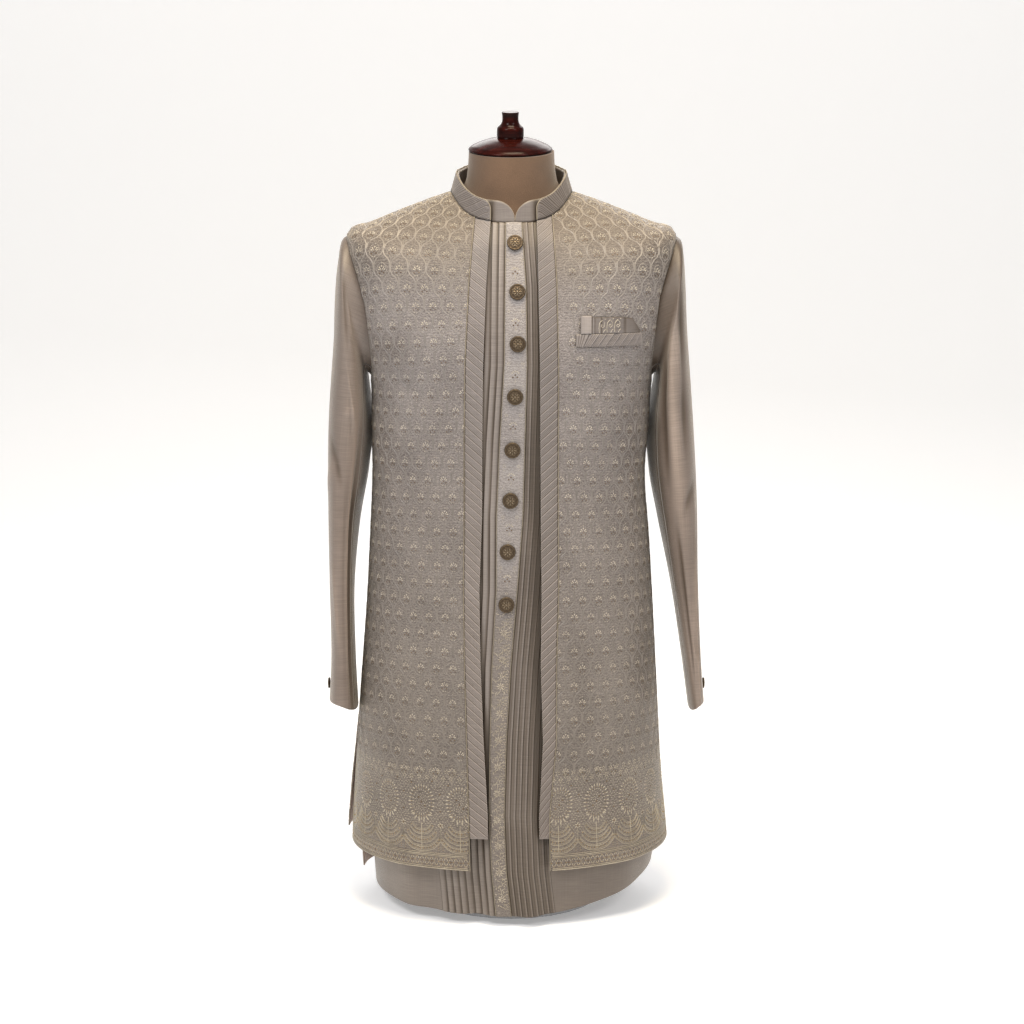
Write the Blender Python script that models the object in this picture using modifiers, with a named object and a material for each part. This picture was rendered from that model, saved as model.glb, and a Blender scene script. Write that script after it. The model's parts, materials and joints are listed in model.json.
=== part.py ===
"""Two-layer sherwani coat on a counter-top dress form.

The under coat is a long-sleeved silk coat with a buttoned placket, pin tucks and a stand
collar. Over it lies a sleeveless embroidered coat, open in front, with tucked silk bands,
a tucked stand collar and a breast pocket. Both hang on a limbless form with a turned cap.

Blender 4.5, metres, +Z up. The front faces -Y and the wearer's left is +X. The origin is
the middle of the base's underside. Tables are in millimetres and degrees.
"""

import math
from collections import namedtuple
from functools import lru_cache

import bmesh
import bpy
from mathutils import Vector

MM = 0.001
OBJECT_NAME = "sherwani_coat_on_dress_form"

# ---------------------------------------------------------------- driving dimensions

CLOTH = 2.0 * MM            # lined silk
SEAM = 0.3 * MM             # between two pieces sewn edge to edge
LYING = 0.4 * MM            # between a panel and what lies on it
TUCK_RISE = 1.1 * MM        # height of a pressed tuck's fold
RIGHT, LEFT = -1, 1         # wearer's sides, -X and +X

# The under coat's outer face, ring by ring from the hem up to the neck seam. Each ring is
# tilted: its height is given at the front, side and back. The gap columns say how far the
# over coat hangs from the under coat.
Ring = namedtuple("Ring", "name z_front z_right z_left z_back wide_right wide_left "
                          "deep_front deep_back square gap_front gap_right gap_left gap_back")
RINGS = (
    Ring("under hem",   14, 22, 54, 26, 190.0, 196.0, 155, 142, 0.03, 8.0, 30.0, 18.0, 9.0),
    Ring("over hem",    77, 80, 83, 79, 193.0, 198.0, 152, 140, 0.03, 8.0, 27.0, 16.5, 9.0),
    Ring("thigh",       190, 190, 190, 190, 194.0, 192.0, 146, 136, 0.03, 7.0, 20.0, 13.0, 8.0),
    Ring("seat",        300, 300, 300, 300, 192.5, 187.5, 139, 132, 0.03, 6.0, 13.5, 11.0, 6.5),
    Ring("hip",         410, 412, 412, 412, 187.0, 183.5, 132, 126, 0.03, 4.5, 10.0, 8.5, 5.0),
    Ring("high hip",    500, 505, 505, 505, 184.5, 180.0, 127, 119, 0.03, 3.2, 7.0, 6.0, 3.5),
    Ring("waist",       585, 590, 590, 590, 183.0, 175.5, 125, 113, 0.03, 2.4, 4.5, 4.0, 2.5),
    Ring("ribs",        655, 658, 658, 660, 185.0, 181.0, 127, 114, 0.03, 2.1, 3.0, 3.0, 1.8),
    Ring("armpit",      715, 720, 720, 722, 186.5, 186.0, 129, 118, 0.03, 2.4, 2.0, 2.0, 1.4),
    Ring("chest",       768, 782, 782, 782, 200.0, 201.0, 129, 122, 0.04, 2.4, 1.4, 1.4, 1.2),
    Ring("upper chest", 812, 849, 849, 843, 211.0, 211.0, 124, 121, 0.04, 2.4, 1.1, 1.1, 1.1),
    Ring("shoulder point", 853, 914, 914, 900, 217.5, 216.5, 115, 112, 0.03, 2.4, 1.5, 2.3, 1.1),
    Ring("outer shoulder", 880, 929, 929, 927, 186.0, 186.0, 107, 103, 0.02, 2.4, 1.0, 1.0, 1.0),
    Ring("mid shoulder",   901, 945, 945, 951, 147.0, 147.0, 100, 93, 0.01, 2.4, 1.0, 1.0, 1.0),
    Ring("inner shoulder", 917, 959, 959, 969, 110.0, 110.0, 93, 84, 0.00, 2.4, 1.0, 1.0, 1.0),
    Ring("neck seam",      932, 969, 969, 983, 79.5, 79.5, 86, 75, 0.00, 2.4, 1.0, 1.0, 1.0),
)
UNDER_HEM, OVER_HEM, ARMPIT, SHOULDER, NECK = 0, 1, 8, 11, 15
SLOPE = 12                           # above this ring the front of a ring runs flatter
RING_SPACING = 60.0                  # usual height between rings, millimetres

# Ring positions where a panel has a row of points.
LOWER_ROWS = (0, 1, 2, 3, 4, 5, 6, 7)
ARMHOLE_STEPS = 8
UPPER_ROWS = (12, 13, 14, 15)
UNDER_BACK_HEM, OVER_BACK_HEM = 0.35, 1.15   # the backs are cut a little shorter
BACK_COLUMNS = 18
ARMHOLE_SPREAD = math.radians(25)    # half-opening of the armhole at mid height
OVER_TRIM = math.radians(0.9)        # the over coat's armhole is cut a little wider

# Front edges, measured across from the centre line. -X is the wearer's right.
Edge = namedtuple("Edge", "z placket_right placket_left band_right band_left "
                          "front_right front_left")
EDGES = (
    Edge(936, -7.2, 12.8, -27.4, 33.4, -48.2, 53.5),
    Edge(850, -8.2, 18.8, -32.8, 35.1, -55.3, 58.8),
    Edge(750, -9.2, 20.1, -36.9, 37.3, -60.6, 61.2),
    Edge(650, -15.1, 17.4, -38.4, 38.0, -61.9, 61.1),
    Edge(550, -19.5, 14.9, -38.8, 38.7, -62.2, 61.4),
    Edge(450, -20.0, 7.3, -42.5, 39.9, -63.2, 62.2),
    Edge(350, -25.8, -1.1, -41.0, 39.0, -62.1, 59.5),
    Edge(250, -28.4, -6.9, -37.0, 42.0, -59.5, 59.5),
    Edge(150, -29.7, -9.7, -31.6, 37.0, -57.0, 50.5),
    Edge(74, -26.0, -6.9, -31.2, 38.4, -55.2, 51.5),
    Edge(12, -20.4, 0.1, -31.2, 38.4, -55.2, 52.5),
)

# Soft folds: the angle is round the body from the front, positive to the wearer's left.
# Depth is outward, and grows from z_top down to z_full.
Fold = namedtuple("Fold", "name angle spread depth z_top z_full")
SHARED_FOLDS = (
    Fold("back flute right",  -150, 24, 8.0, 520, 60),
    Fold("back hollow",       -175, 22, -6.0, 480, 60),
    Fold("back flute left",    156, 24, 8.0, 500, 60),
    Fold("side flute left",    118, 24, 4.0, 430, 60),
    Fold("front roll right",   -44, 14, 3.0, 420, 60),
    Fold("front roll left",     47, 15, 3.0, 380, 60),
)
UNDER_FOLDS = (
    Fold("front left wave",     7.5, 7, 8.0, 330, 40),
    Fold("front right trough", -14, 7, -9.0, 380, 60),
    Fold("front right roll",   -34, 10, -5.0, 300, 40),
)
OVER_SLIT_FLARE = Fold("over slit flare", -90, 34, 7.0, 300, 80)
UNDER_SLIT_FLARE = Fold("under slit flare", -90, 40, 17.0, 270, 50)

# Sleeve rings below the armhole: height on the outer and inner side, reach across from the
# centre line on each side, depth, and how far its inner back hangs in behind the coat's side.
# The empty sleeve hangs flat against the side.
Cuff = namedtuple("Cuff", "name z_out z_in out_right in_right out_left in_left "
                          "y_front y_back behind")
SLEEVE_RINGS = (
    Cuff("cap",        904, 728, 228.5, 195.5, 228.5, 195.5, -62, 66, 0),
    Cuff("upper arm",  866, 694, 233.0, 196.5, 231.0, 195.5, -73, 75, 4),
    Cuff("biceps",     785, 648, 238.5, 196.0, 236.5, 192.0, -78, 75, 9),
    Cuff("above elbow", 668, 590, 247.0, 202.0, 245.5, 194.5, -77, 66, 9),
    Cuff("elbow",      560, 525, 248.5, 211.5, 251.5, 204.5, -78, 57, 5),
    Cuff("forearm",    450, 435, 247.5, 215.5, 253.8, 219.0, -81, 47, 0),
    Cuff("wrist",      352, 345, 246.0, 214.5, 258.0, 233.0, -84, 36, 0),
    Cuff("cuff",       287, 272, 249.0, 211.0, 262.5, 243.0, -86, 28, 0),
)
BEHIND_TURN = math.radians(215)      # where round the sleeve its back hangs in
CUFF_FLAT = 5.0                      # millimetres the front of the cuff's edge is cut up
SLEEVE_COLUMNS = 16
SLEEVE_ROWS = (0.0, 0.45, 1.0, 1.5, 2.0, 3.0, 4.0, 5.0, 6.0, 7.0, 8.0)
SLEEVE_SQUARE = 0.06
SEAM_AT_CAP = 1.8                    # the sleeve's seams open a little at the twisted cap
CAP_ROWS = 6
FRONT_SEAM, BACK_SEAM = 5, 11        # sleeve columns where upper and under sleeve meet

PIN_TUCKS = 8
PIN_PITCH_RIGHT = 8.9 * MM
PIN_PITCH_LEFT = 7.3 * MM
PLACKET_SIDE = 0.8 * MM              # plain strip between placket and first tuck
TUCK_START = 0.4 * MM                # run-up from the plain strip to the first tuck's fold

BAND_TUCKS = 52
BAND_SLANT = 21.0 * MM               # a tuck's drop from the band's seam to its free edge
BAND_FOOT_Z = 121                    # height where the tucked bands end

COLLAR_HEIGHT = 27.5 * MM            # in front
COLLAR_SIDE_RISE, COLLAR_BACK_RISE = 3.5 * MM, 6.5 * MM   # how much taller it stands there
COLLAR_LIFT = 0.6 * MM               # collar seam above the neck seam
COLLAR_SPLIT_X = 4.6                 # where the under collar's ends meet
UNDER_COLLAR_CORNER = 25.0 * MM      # radius of the front corners
OVER_COLLAR_CORNER = 12.0 * MM
COLLAR_TUCKS = 16                    # each side of the over collar
COLLAR_SLANT = math.radians(13)      # turn of a tuck from the collar's foot to its top
COLLAR_BACK_GAP = 0.002              # half the seam at the centre back, as an angle
UNDER_COLLAR_COLUMNS = 14
Stand = namedtuple("Stand", "place lean_in")
STAND_LEAN = (Stand("front", 0.02), Stand("side", 0.32), Stand("back", 0.14))

BUTTON_RADIUS = 11.5 * MM
BUTTON_THICK = 3.6 * MM
Button = namedtuple("Button", "x z")
BUTTONS = (
    Button(4.5, 905), Button(7.6, 843), Button(8.2, 777), Button(4.6, 709),
    Button(1.2, 639), Button(-1.4, 572), Button(-5.0, 504), Button(-6.6, 434),
)
CUFF_BUTTON_RADIUS = 7.5 * MM
CUFF_BUTTON_THICK = 3.2 * MM
SHANK, CUFF_SHANK = 0.8 * MM, 0.5 * MM
CUFF_BUTTON_Z = 304

POCKET_LIFT = 0.6 * MM               # between the over front and the pocket pieces
WELT_THICK = 1.2 * MM
SQUARE_THICK = 0.8 * MM
WELT_LEAN = 10.0                     # how far the welt's tucks lean across, foot to top
WELT_X = (83.0, 170.0)
WELT_Z = (773.0, 789.5)
WELT_TUCKS = 9
SQUARE_X = (89.0, 164.0)
SQUARE_TOP_Z = 812.0
Pleat = namedtuple("Pleat", "at rise")
SQUARE_PLEATS = (Pleat(0.0, 0.4), Pleat(0.12, 1.6), Pleat(0.26, 0.2), Pleat(0.30, 1.5),
                 Pleat(0.55, 0.5), Pleat(0.60, 1.9), Pleat(0.80, 0.6), Pleat(1.0, 0.2))

# The form: inset from the under coat's outer face, from the waist-height cut to the neck.
Inset = namedtuple("Inset", "row inset")
FORM_INSETS = (Inset(3.2, 24.0), Inset(3.6, 19.0), Inset(4.2, 14.0), Inset(5.0, 10.0),
               Inset(6.0, 7.0), Inset(7.0, 5.0), Inset(8.0, 4.4), Inset(9.0, 4.0),
               Inset(10.0, 3.8), Inset(11.0, 3.8), Inset(12.0, 3.5), Inset(13.0, 4.1),
               Inset(14.0, 4.6), Inset(15.0, 5.4))
NeckRing = namedtuple("NeckRing", "name z_front z_side z_back wide deep_front deep_back")
NECK_RINGS = (
    NeckRing("neck foot",  945, 981, 993, 63, 67, 61),
    NeckRing("neck waist", 972, 1000, 1012, 58.5, 60, 57),
    NeckRing("neck top",   1015.5, 1024.5, 1033.5, 57, 57, 56),
)
FORM_COLUMNS = 24
CAP_TILT = math.radians(9.0)
CAP_RADIUS = 56.0 * MM
CAP_CENTRE = Vector((-1.5, 0.0, 1025.0)) * MM
CAP_PROFILE = ((0, 17.5), (18, 17.5), (33, 14.0), (47, 8.5), (54.5, 4.0), (56, 2.2),
               (54.5, 0.4), (0, 0.4))
FINIAL_SEAT = 17.8 * MM             # foot of the finial above the cap's rim plane
FINIAL_PROFILE = ((0, 34.0), (9.0, 34.0), (11.2, 31.5), (11.2, 18.0), (16.5, 14.5),
                  (17.8, 11.0), (17.8, 2.0), (16.0, 0.0), (0, 0))
POLE_RADIUS = 12.5 * MM
BASE_RADIUS = 125.0 * MM
BASE_THICK = 6.0 * MM

Finish = namedtuple("Finish", "colour roughness metallic")
FINISHES = {
    "silk": Finish((0.30, 0.25, 0.21), 0.45, 0.0),
    "tucked_silk": Finish((0.34, 0.29, 0.25), 0.45, 0.0),
    "embroidered_silk": Finish((0.40, 0.35, 0.27), 0.55, 0.0),
    "antique_gold": Finish((0.32, 0.24, 0.15), 0.35, 0.9),
    "form_cloth": Finish((0.21, 0.14, 0.09), 0.8, 0.0),
    "mahogany": Finish((0.06, 0.008, 0.006), 0.12, 0.0),
    "steel": Finish((0.55, 0.55, 0.56), 0.35, 0.9),
}


# ---------------------------------------------------------------- small helpers

def clear_scene():
    for old in list(bpy.data.objects):
        bpy.data.objects.remove(old, do_unlink=True)


def new_collection(name):
    group = bpy.data.collections.new(name)
    bpy.context.scene.collection.children.link(group)
    return group


def finish_material(name, finish):
    material = bpy.data.materials.new(name)
    material.use_nodes = True
    shader = material.node_tree.nodes["Principled BSDF"]
    colour, roughness, metallic = FINISHES[finish]
    shader.inputs["Base Color"].default_value = (*colour, 1.0)
    shader.inputs["Roughness"].default_value = roughness
    shader.inputs["Metallic"].default_value = metallic
    return material


def add_object(name, mesh, finish, crease=35):
    mesh.materials.append(finish_material(name + "_finish", finish))
    mesh.shade_smooth()
    mesh.set_sharp_from_angle(angle=math.radians(crease))
    thing = bpy.data.objects.new(name, mesh)
    COAT.objects.link(thing)
    return thing


def spline(values, t):
    """Value at row position t on a smooth curve through the rows of a column."""
    last = len(values) - 1
    row = min(max(int(t), 0), last - 1)
    f = t - row
    a, b = values[max(row - 1, 0)], values[row]
    c, d = values[row + 1], values[min(row + 2, last)]
    return b + 0.5 * f * (c - a + f * (2 * a - 5 * b + 4 * c - d + f * (3 * (b - c) + d - a)))


def table_value(rows, key, field, at):
    """Straight-line value of a field of a table whose key falls or rises steadily."""
    for low, high in zip(rows, rows[1:]):
        k0, k1 = getattr(low, key), getattr(high, key)
        if min(k0, k1) <= at <= max(k0, k1):
            share = (at - k0) / (k1 - k0)
            return getattr(low, field) * (1 - share) + getattr(high, field) * share
    ends = (rows[0], rows[-1])
    return getattr(min(ends, key=lambda row: abs(getattr(row, key) - at)), field)


def smooth_step(x):
    x = min(max(x, 0.0), 1.0)
    return x * x * (3 - 2 * x)


# ---------------------------------------------------------------- the coat's faces

@lru_cache(maxsize=None)
def ring_at(t):
    columns = list(zip(*(ring[1:] for ring in RINGS)))
    return Ring("at", *(spline(column, t) for column in columns))


def body_point(phi, t):
    """Point of the under coat's outer face, phi round the body and t rings up from the hem."""
    ring = ring_at(t)
    s, c = math.sin(phi), math.cos(phi)
    wide = ring.wide_left if s > 0 else ring.wide_right
    deep = ring.deep_front if c > 0 else ring.deep_back
    z_end = ring.z_front if c > 0 else ring.z_back
    full = 1 + ring.square * math.sin(2 * phi) ** 2
    z_side = ring.z_left if s > 0 else ring.z_right
    flat = smooth_step((t - SLOPE) / (NECK - SLOPE)) if c > 0 else 0.0
    up = s * s * (1 - flat * c * c)
    z = z_side * up + z_end * (1 - up)
    return Vector((wide * s * full, -deep * c * full, z)) * MM


def body_normal(phi, t):
    low, high = max(t - 0.02, 0.0), min(t + 0.02, NECK)
    across = body_point(phi + 0.01, t) - body_point(phi - 0.01, t)
    up = body_point(phi, high) - body_point(phi, low)
    return across.cross(up).normalized()


def fold_height(folds, phi, z):
    total = 0.0
    for fold in folds:
        turn = math.degrees(phi) - fold.angle
        turn = (turn + 180) % 360 - 180
        if abs(turn) < fold.spread:
            bell = 0.5 + 0.5 * math.cos(math.pi * turn / fold.spread)
            total += fold.depth * bell * smooth_step((fold.z_top - z) / (fold.z_top - fold.z_full))
    return total * MM


def under_point(phi, t, lift=0.0):
    """Point at a height over the under coat's outer face."""
    place = body_point(phi, t)
    z = place.z / MM
    folds = fold_height(SHARED_FOLDS, phi, z) + fold_height(UNDER_FOLDS, phi, z)
    return place + body_normal(phi, t) * (folds + lift)


def gap_at(phi, t):
    ring = ring_at(t)
    s, c = math.sin(phi), math.cos(phi)
    side = ring.gap_left if s > 0 else ring.gap_right
    end = ring.gap_front if c > 0 else ring.gap_back
    return (side * s * s + end * c * c) * MM


def over_point(phi, t, lift=0.0):
    """Point at a height over the over coat's outer face."""
    place = body_point(phi, t)
    folds = fold_height(SHARED_FOLDS, phi, place.z / MM)
    return place + body_normal(phi, t) * (folds + gap_at(phi, t) + CLOTH + lift)


def over_back_point(phi, t, lift=0.0):
    """The over coat's back, which stands out along the right side slit."""
    flare = fold_height((OVER_SLIT_FLARE,), phi, body_point(phi, t).z / MM)
    return over_point(phi, t, lift + flare)


def under_back_point(phi, t, lift=0.0):
    """The under coat's back, which also stands out along the right side slit."""
    flare = fold_height((UNDER_SLIT_FLARE,), phi, body_point(phi, t).z / MM)
    return under_point(phi, t, lift + flare)


def armhole_rows():
    """Ring positions and half-openings of the armhole, armpit first."""
    rows = []
    for k in range(ARMHOLE_STEPS + 1):
        turn = math.pi * (1 - k / ARMHOLE_STEPS)
        t = ARMPIT + (SHOULDER - ARMPIT) * (1 + math.cos(turn)) / 2
        rows.append((t, ARMHOLE_SPREAD * math.sin(turn)))
    return rows


ARMHOLE = armhole_rows()


def opening_at(t, trim=0.0):
    """Angle from the side line to the armhole edge, for a row; trim cuts it back."""
    for row, spread in ARMHOLE:
        if abs(row - t) < 1e-6:
            return spread + trim
    return trim if ARMPIT <= t <= SHOULDER else 0.0


def panel_rows(first=UNDER_HEM):
    rows = list(LOWER_ROWS) + [row for row, _ in ARMHOLE] + list(UPPER_ROWS)
    return [first] + [row for row in rows if row > first]


def angle_at(x, t, face):
    """Angle on a front face where it lies x millimetres across, at ring t."""
    low, high = -1.3, 1.3
    for _ in range(28):
        middle = (low + high) / 2
        if face(middle, t).x < x * MM:
            low = middle
        else:
            high = middle
    return (low + high) / 2


def edge_angle(field, t, face, shift=0.0):
    """Angle of a named front edge at ring t, shifted across by a distance in metres."""
    x = table_value(EDGES, "z", field, ring_at(t).z_front)
    return angle_at(x + shift / MM, t, face)


# ---------------------------------------------------------------- walls of cloth

def wall_mesh(name, points, back_points):
    """Wall of cloth between a face and its back, each given as rows of points."""
    rows, columns = len(points), len(points[0])
    shape = bmesh.new()
    bmesh.ops.create_grid(shape, x_segments=columns - 1, y_segments=rows - 1, size=1.0)
    shape.verts.ensure_lookup_table()
    for index, vertex in enumerate(shape.verts):
        vertex.co = points[index // columns][index % columns]
    copy = bmesh.ops.duplicate(shape, geom=shape.verts[:] + shape.edges[:] + shape.faces[:])
    back = [part for part in copy["geom"] if isinstance(part, bmesh.types.BMVert)]
    for index, vertex in enumerate(back):
        vertex.co = back_points[index // columns][index % columns]
    back_faces = [part for part in copy["geom"] if isinstance(part, bmesh.types.BMFace)]
    bmesh.ops.reverse_faces(shape, faces=back_faces)
    rim = [edge for edge in shape.edges if edge.is_boundary]
    bmesh.ops.bridge_loops(shape, edges=rim)
    mesh = bpy.data.meshes.new(name)
    shape.to_mesh(mesh)
    shape.free()
    return mesh


def wall(name, points, back_points, finish, crease=35):
    return add_object(name, wall_mesh(name, points, back_points), finish, crease)


def draped_wall(name, face, rows, finish, crease=35):
    """Wall on a face of the coat; each row is its ring and its (angle, lift) columns."""
    points = [[face(angle, t, lift) for angle, lift in columns] for t, columns in rows]
    backs = [[face(angle, t, -CLOTH) for angle, _ in columns] for t, columns in rows]
    return wall(name, points, backs, finish, crease)


def blend_columns(start, end, count):
    return [start + (end - start) * k / count for k in range(count + 1)]


# ---------------------------------------------------------------- body panels

def side_angle(side, t, front, trim=0.0):
    """Angle of the side seam, armhole edge or shoulder seam of a front or back panel."""
    half = math.pi / 2
    seam = SEAM / (ring_at(t).deep_back * MM)
    away = opening_at(t, trim) + seam
    return side * (half - away if front else half + away)


def placket_middle(t):
    z = ring_at(t).z_front
    return (table_value(EDGES, "z", "placket_right", z)
            + table_value(EDGES, "z", "placket_left", z)) / 2


def build_under_front(side, name, pitch, field):
    """Under coat front with pin tucks beside the placket."""
    rows = []
    for t in panel_rows():
        inner = angle_at(placket_middle(t) + side * SEAM * 0.5 / MM, t, under_point)
        beside = edge_angle(field, t, under_point, side * PLACKET_SIDE)
        first = edge_angle(field, t, under_point, side * (PLACKET_SIDE + TUCK_START))
        last = edge_angle(field, t, under_point, side * (PLACKET_SIDE + PIN_TUCKS * pitch))
        columns = [(inner, 0.0), (beside, 0.0)]
        for tuck in range(PIN_TUCKS):
            for share, rise in ((0.0, TUCK_RISE), (0.88, 0.15 * TUCK_RISE)):
                step = (tuck + share) / PIN_TUCKS
                columns.append((first + (last - first) * step, rise))
        seam = side_angle(side, t, True)
        columns += [(angle, 0.0) for angle in blend_columns(last, seam, 6)]
        if side == RIGHT:
            columns.reverse()
        rows.append((t, columns))
    draped_wall(name, under_point, rows, "silk", crease=12)


def build_back(name, face, finish, first, trim):
    rows = []
    for t in panel_rows(first):
        start = side_angle(LEFT, t, False, trim)
        end = side_angle(RIGHT, t, False, trim) + 2 * math.pi
        rows.append((t, [(angle, 0.0) for angle in blend_columns(start, end, BACK_COLUMNS)]))
    draped_wall(name, face, rows, finish)


def build_placket():
    """Placket lying on both fronts where they meet."""
    points, backs = [], []
    for t in panel_rows():
        angles = [edge_angle("placket_right", t, under_point),
                  angle_at(placket_middle(t), t, under_point),
                  edge_angle("placket_left", t, under_point)]
        points.append([under_point(angle, t, LYING + CLOTH) for angle in angles])
        backs.append([under_point(angle, t, LYING) for angle in angles])
    wall("placket", points, backs, "embroidered_silk")


def build_over_front(side, name, field):
    """Embroidered front, from the side seam and armhole to its open front edge."""
    rows = []
    for t in panel_rows(OVER_HEM):
        angles = blend_columns(side_angle(side, t, True, OVER_TRIM),
                               edge_angle(field, t, over_point), 9)
        if side == LEFT:
            angles.reverse()
        rows.append((t, [(angle, 0.0) for angle in angles]))
    draped_wall(name, over_point, rows, "embroidered_silk")


def front_edge_point(field, t, lift):
    """Point on the straight stretches of an embroidered front's edge."""
    rows = panel_rows(OVER_HEM)
    low = max(row for row in rows if row <= t)
    high = min(row for row in rows if row >= t)
    ends = [over_point(edge_angle(field, row, over_point), row, lift) for row in (low, high)]
    return ends[0].lerp(ends[1], (t - low) / (high - low) if high > low else 0.0)


def ring_for_height(z):
    """Ring position where the centre front is at a height in millimetres."""
    low, high = 0.0, float(NECK)
    for _ in range(30):
        middle = (low + high) / 2
        if ring_at(middle).z_front < z:
            low = middle
        else:
            high = middle
    return (low + high) / 2


def band_row(side, band_field, front_field, along, slant, rise):
    """Front and back points of one slanting line across a band."""
    front, back = [], []
    for across, drop in ((0.0, slant * 0.5), (0.5, 0.0), (1.0, -slant * 0.5)):
        t = ring_for_height(BAND_FOOT_Z + (along - drop) / MM)
        for points, lift in ((front, rise - TUCK_RISE), (back, -CLOTH)):
            if across == 1:
                edge = front_edge_point(front_field, t, lift)
                points.append(edge - Vector((side * SEAM, 0, 0)))
            else:
                inner, outer = (edge_angle(field, t, over_point)
                                for field in (band_field, front_field))
                points.append(over_point(inner + (outer - inner) * across, t, lift))
    return front, back


def build_band(side, name, band_field, front_field):
    """Silk band with slanting tucks, sewn to the inner side of an embroidered front."""
    length = (RINGS[NECK].z_front - BAND_FOOT_Z) * MM
    points, backs = [], []
    lines = [(tuck + share, rise) for tuck in range(BAND_TUCKS)
             for share, rise in ((0.0, 0.1 * TUCK_RISE), (0.8, TUCK_RISE))]
    lines.append((BAND_TUCKS, 0.0))
    for place, rise in lines:
        along = place / BAND_TUCKS * length
        end = min(along, length - along)
        slant = BAND_SLANT * smooth_step(end / (BAND_SLANT * 1.3))
        front, back = band_row(side, band_field, front_field, along, slant, rise)
        if side == RIGHT:
            front.reverse()
            back.reverse()
        points.append(front)
        backs.append(back)
    wall(name, points, backs, "tucked_silk", crease=12)


# ---------------------------------------------------------------- collars

def stand_frame(phi):
    """Foot, rise and outward directions of the stand collars at an angle."""
    normal = body_normal(phi, NECK)
    outward = Vector((normal.x, normal.y, 0.0)).normalized()
    s, c = math.sin(phi), math.cos(phi)
    end = STAND_LEAN[0].lean_in if c > 0 else STAND_LEAN[2].lean_in
    lean = STAND_LEAN[1].lean_in * s * s + end * c * c
    rise = (Vector((0, 0, 1)) - outward * lean).normalized()
    foot = body_point(phi, NECK) + Vector((0, 0, COLLAR_LIFT)) - outward * SEAM
    return foot, rise, outward, normal


def collar_point(phi, height, out):
    foot, rise, outward, _ = stand_frame(phi)
    side_way = rise.cross(outward)
    across = side_way.cross(rise).normalized()
    return foot + rise * height + across * out


def corner_height(distance, radius, full):
    """Collar height at a distance from its end, with a round corner."""
    if distance >= radius:
        return full
    reach = 1 - distance / radius
    return full - radius * (1 - math.sqrt(max(1 - reach * reach, 0.0)))


def collar_rows(side, columns, foot_of, top_of, depths):
    """Front and back rows of a stand collar; columns are (angle, lean, out, back_out)."""
    points = [[] for _ in depths]
    backs = [[] for _ in depths]
    for angle, lean, out, back_out in columns:
        foot, top = foot_of(angle), top_of(angle)
        for row, share in enumerate(depths):
            turn = angle + lean * (share - 0.5)
            height = foot + (top - foot) * share
            points[row].append(collar_point(turn, height, out))
            backs[row].append(collar_point(turn, height, back_out))
    if side == RIGHT:
        points = [row[::-1] for row in points]
        backs = [row[::-1] for row in backs]
    return points, backs


def collar_height(angle):
    s, c = math.sin(angle), math.cos(angle)
    return COLLAR_HEIGHT + COLLAR_SIDE_RISE * s * s + (COLLAR_BACK_RISE * c * c if c < 0 else 0.0)


def collar_top(start, corner):
    """Height function of a collar whose front end has a round corner."""
    end_foot = collar_point(start, 0, 0)

    def height(angle):
        away = (collar_point(angle, 0, 0) - end_foot).length
        return max(corner_height(away, corner, collar_height(angle)), 3.0 * MM)
    return height


def build_under_collar(side, name):
    """Half of the under coat's stand collar, from its round front end to the centre back."""
    start = angle_at(COLLAR_SPLIT_X + side * 0.3, NECK, body_point)
    end = side * (math.pi - COLLAR_BACK_GAP)
    columns = []
    for k in range(UNDER_COLLAR_COLUMNS + 1):
        share = (k / UNDER_COLLAR_COLUMNS) ** 1.3
        columns.append((start + (end - start) * share, 0.0, 0.0, -CLOTH))
    points, backs = collar_rows(side, columns, lambda angle: 0.0,
                                collar_top(start, UNDER_COLLAR_CORNER), (0.0, 1.0))
    wall(name, points, backs, "silk")


def over_collar_foot(angle):
    """Height at which the over collar clears the over coat's neck edge."""
    foot, rise, _, normal = stand_frame(angle)
    corner = body_point(angle, NECK) + normal * (gap_at(angle, NECK) + CLOTH)
    return (corner - foot).dot(rise) + LYING * 1.5


def build_over_collar(side, name, field):
    """Half of the over coat's stand collar, with slanting tucks."""
    start = edge_angle(field, NECK, over_point)
    end = side * (math.pi - COLLAR_BACK_GAP)
    lines = [(tuck + share, rise) for tuck in range(COLLAR_TUCKS)
             for share, rise in ((0.0, 0.1 * TUCK_RISE), (0.8, TUCK_RISE))]
    lines.append((COLLAR_TUCKS, 0.1 * TUCK_RISE))
    columns = []
    for tuck, rise in lines:
        place = tuck / COLLAR_TUCKS
        angle = start + (end - start) * place
        lean = -side * COLLAR_SLANT * smooth_step(min(place, 1 - place) * 7)
        between = gap_at(angle, NECK) + LYING
        columns.append((angle, lean, between + CLOTH - TUCK_RISE + rise, between))
    points, backs = collar_rows(side, columns, over_collar_foot,
                                collar_top(start, OVER_COLLAR_CORNER), (0.0, 0.5, 1.0))
    wall(name, points, backs, "tucked_silk", crease=12)


# ---------------------------------------------------------------- sleeves

def armhole_point(side, index):
    """Armhole edge of the under coat by sleeve column; 0 is the shoulder, then the front."""
    half = SLEEVE_COLUMNS // 2
    front = index <= half
    step = index if front else SLEEVE_COLUMNS - index
    t, _ = ARMHOLE[ARMHOLE_STEPS - step]
    if step in (0, ARMHOLE_STEPS):
        return under_point(side * math.pi / 2, t)
    return under_point(side_angle(side, t, front), t)


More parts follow.
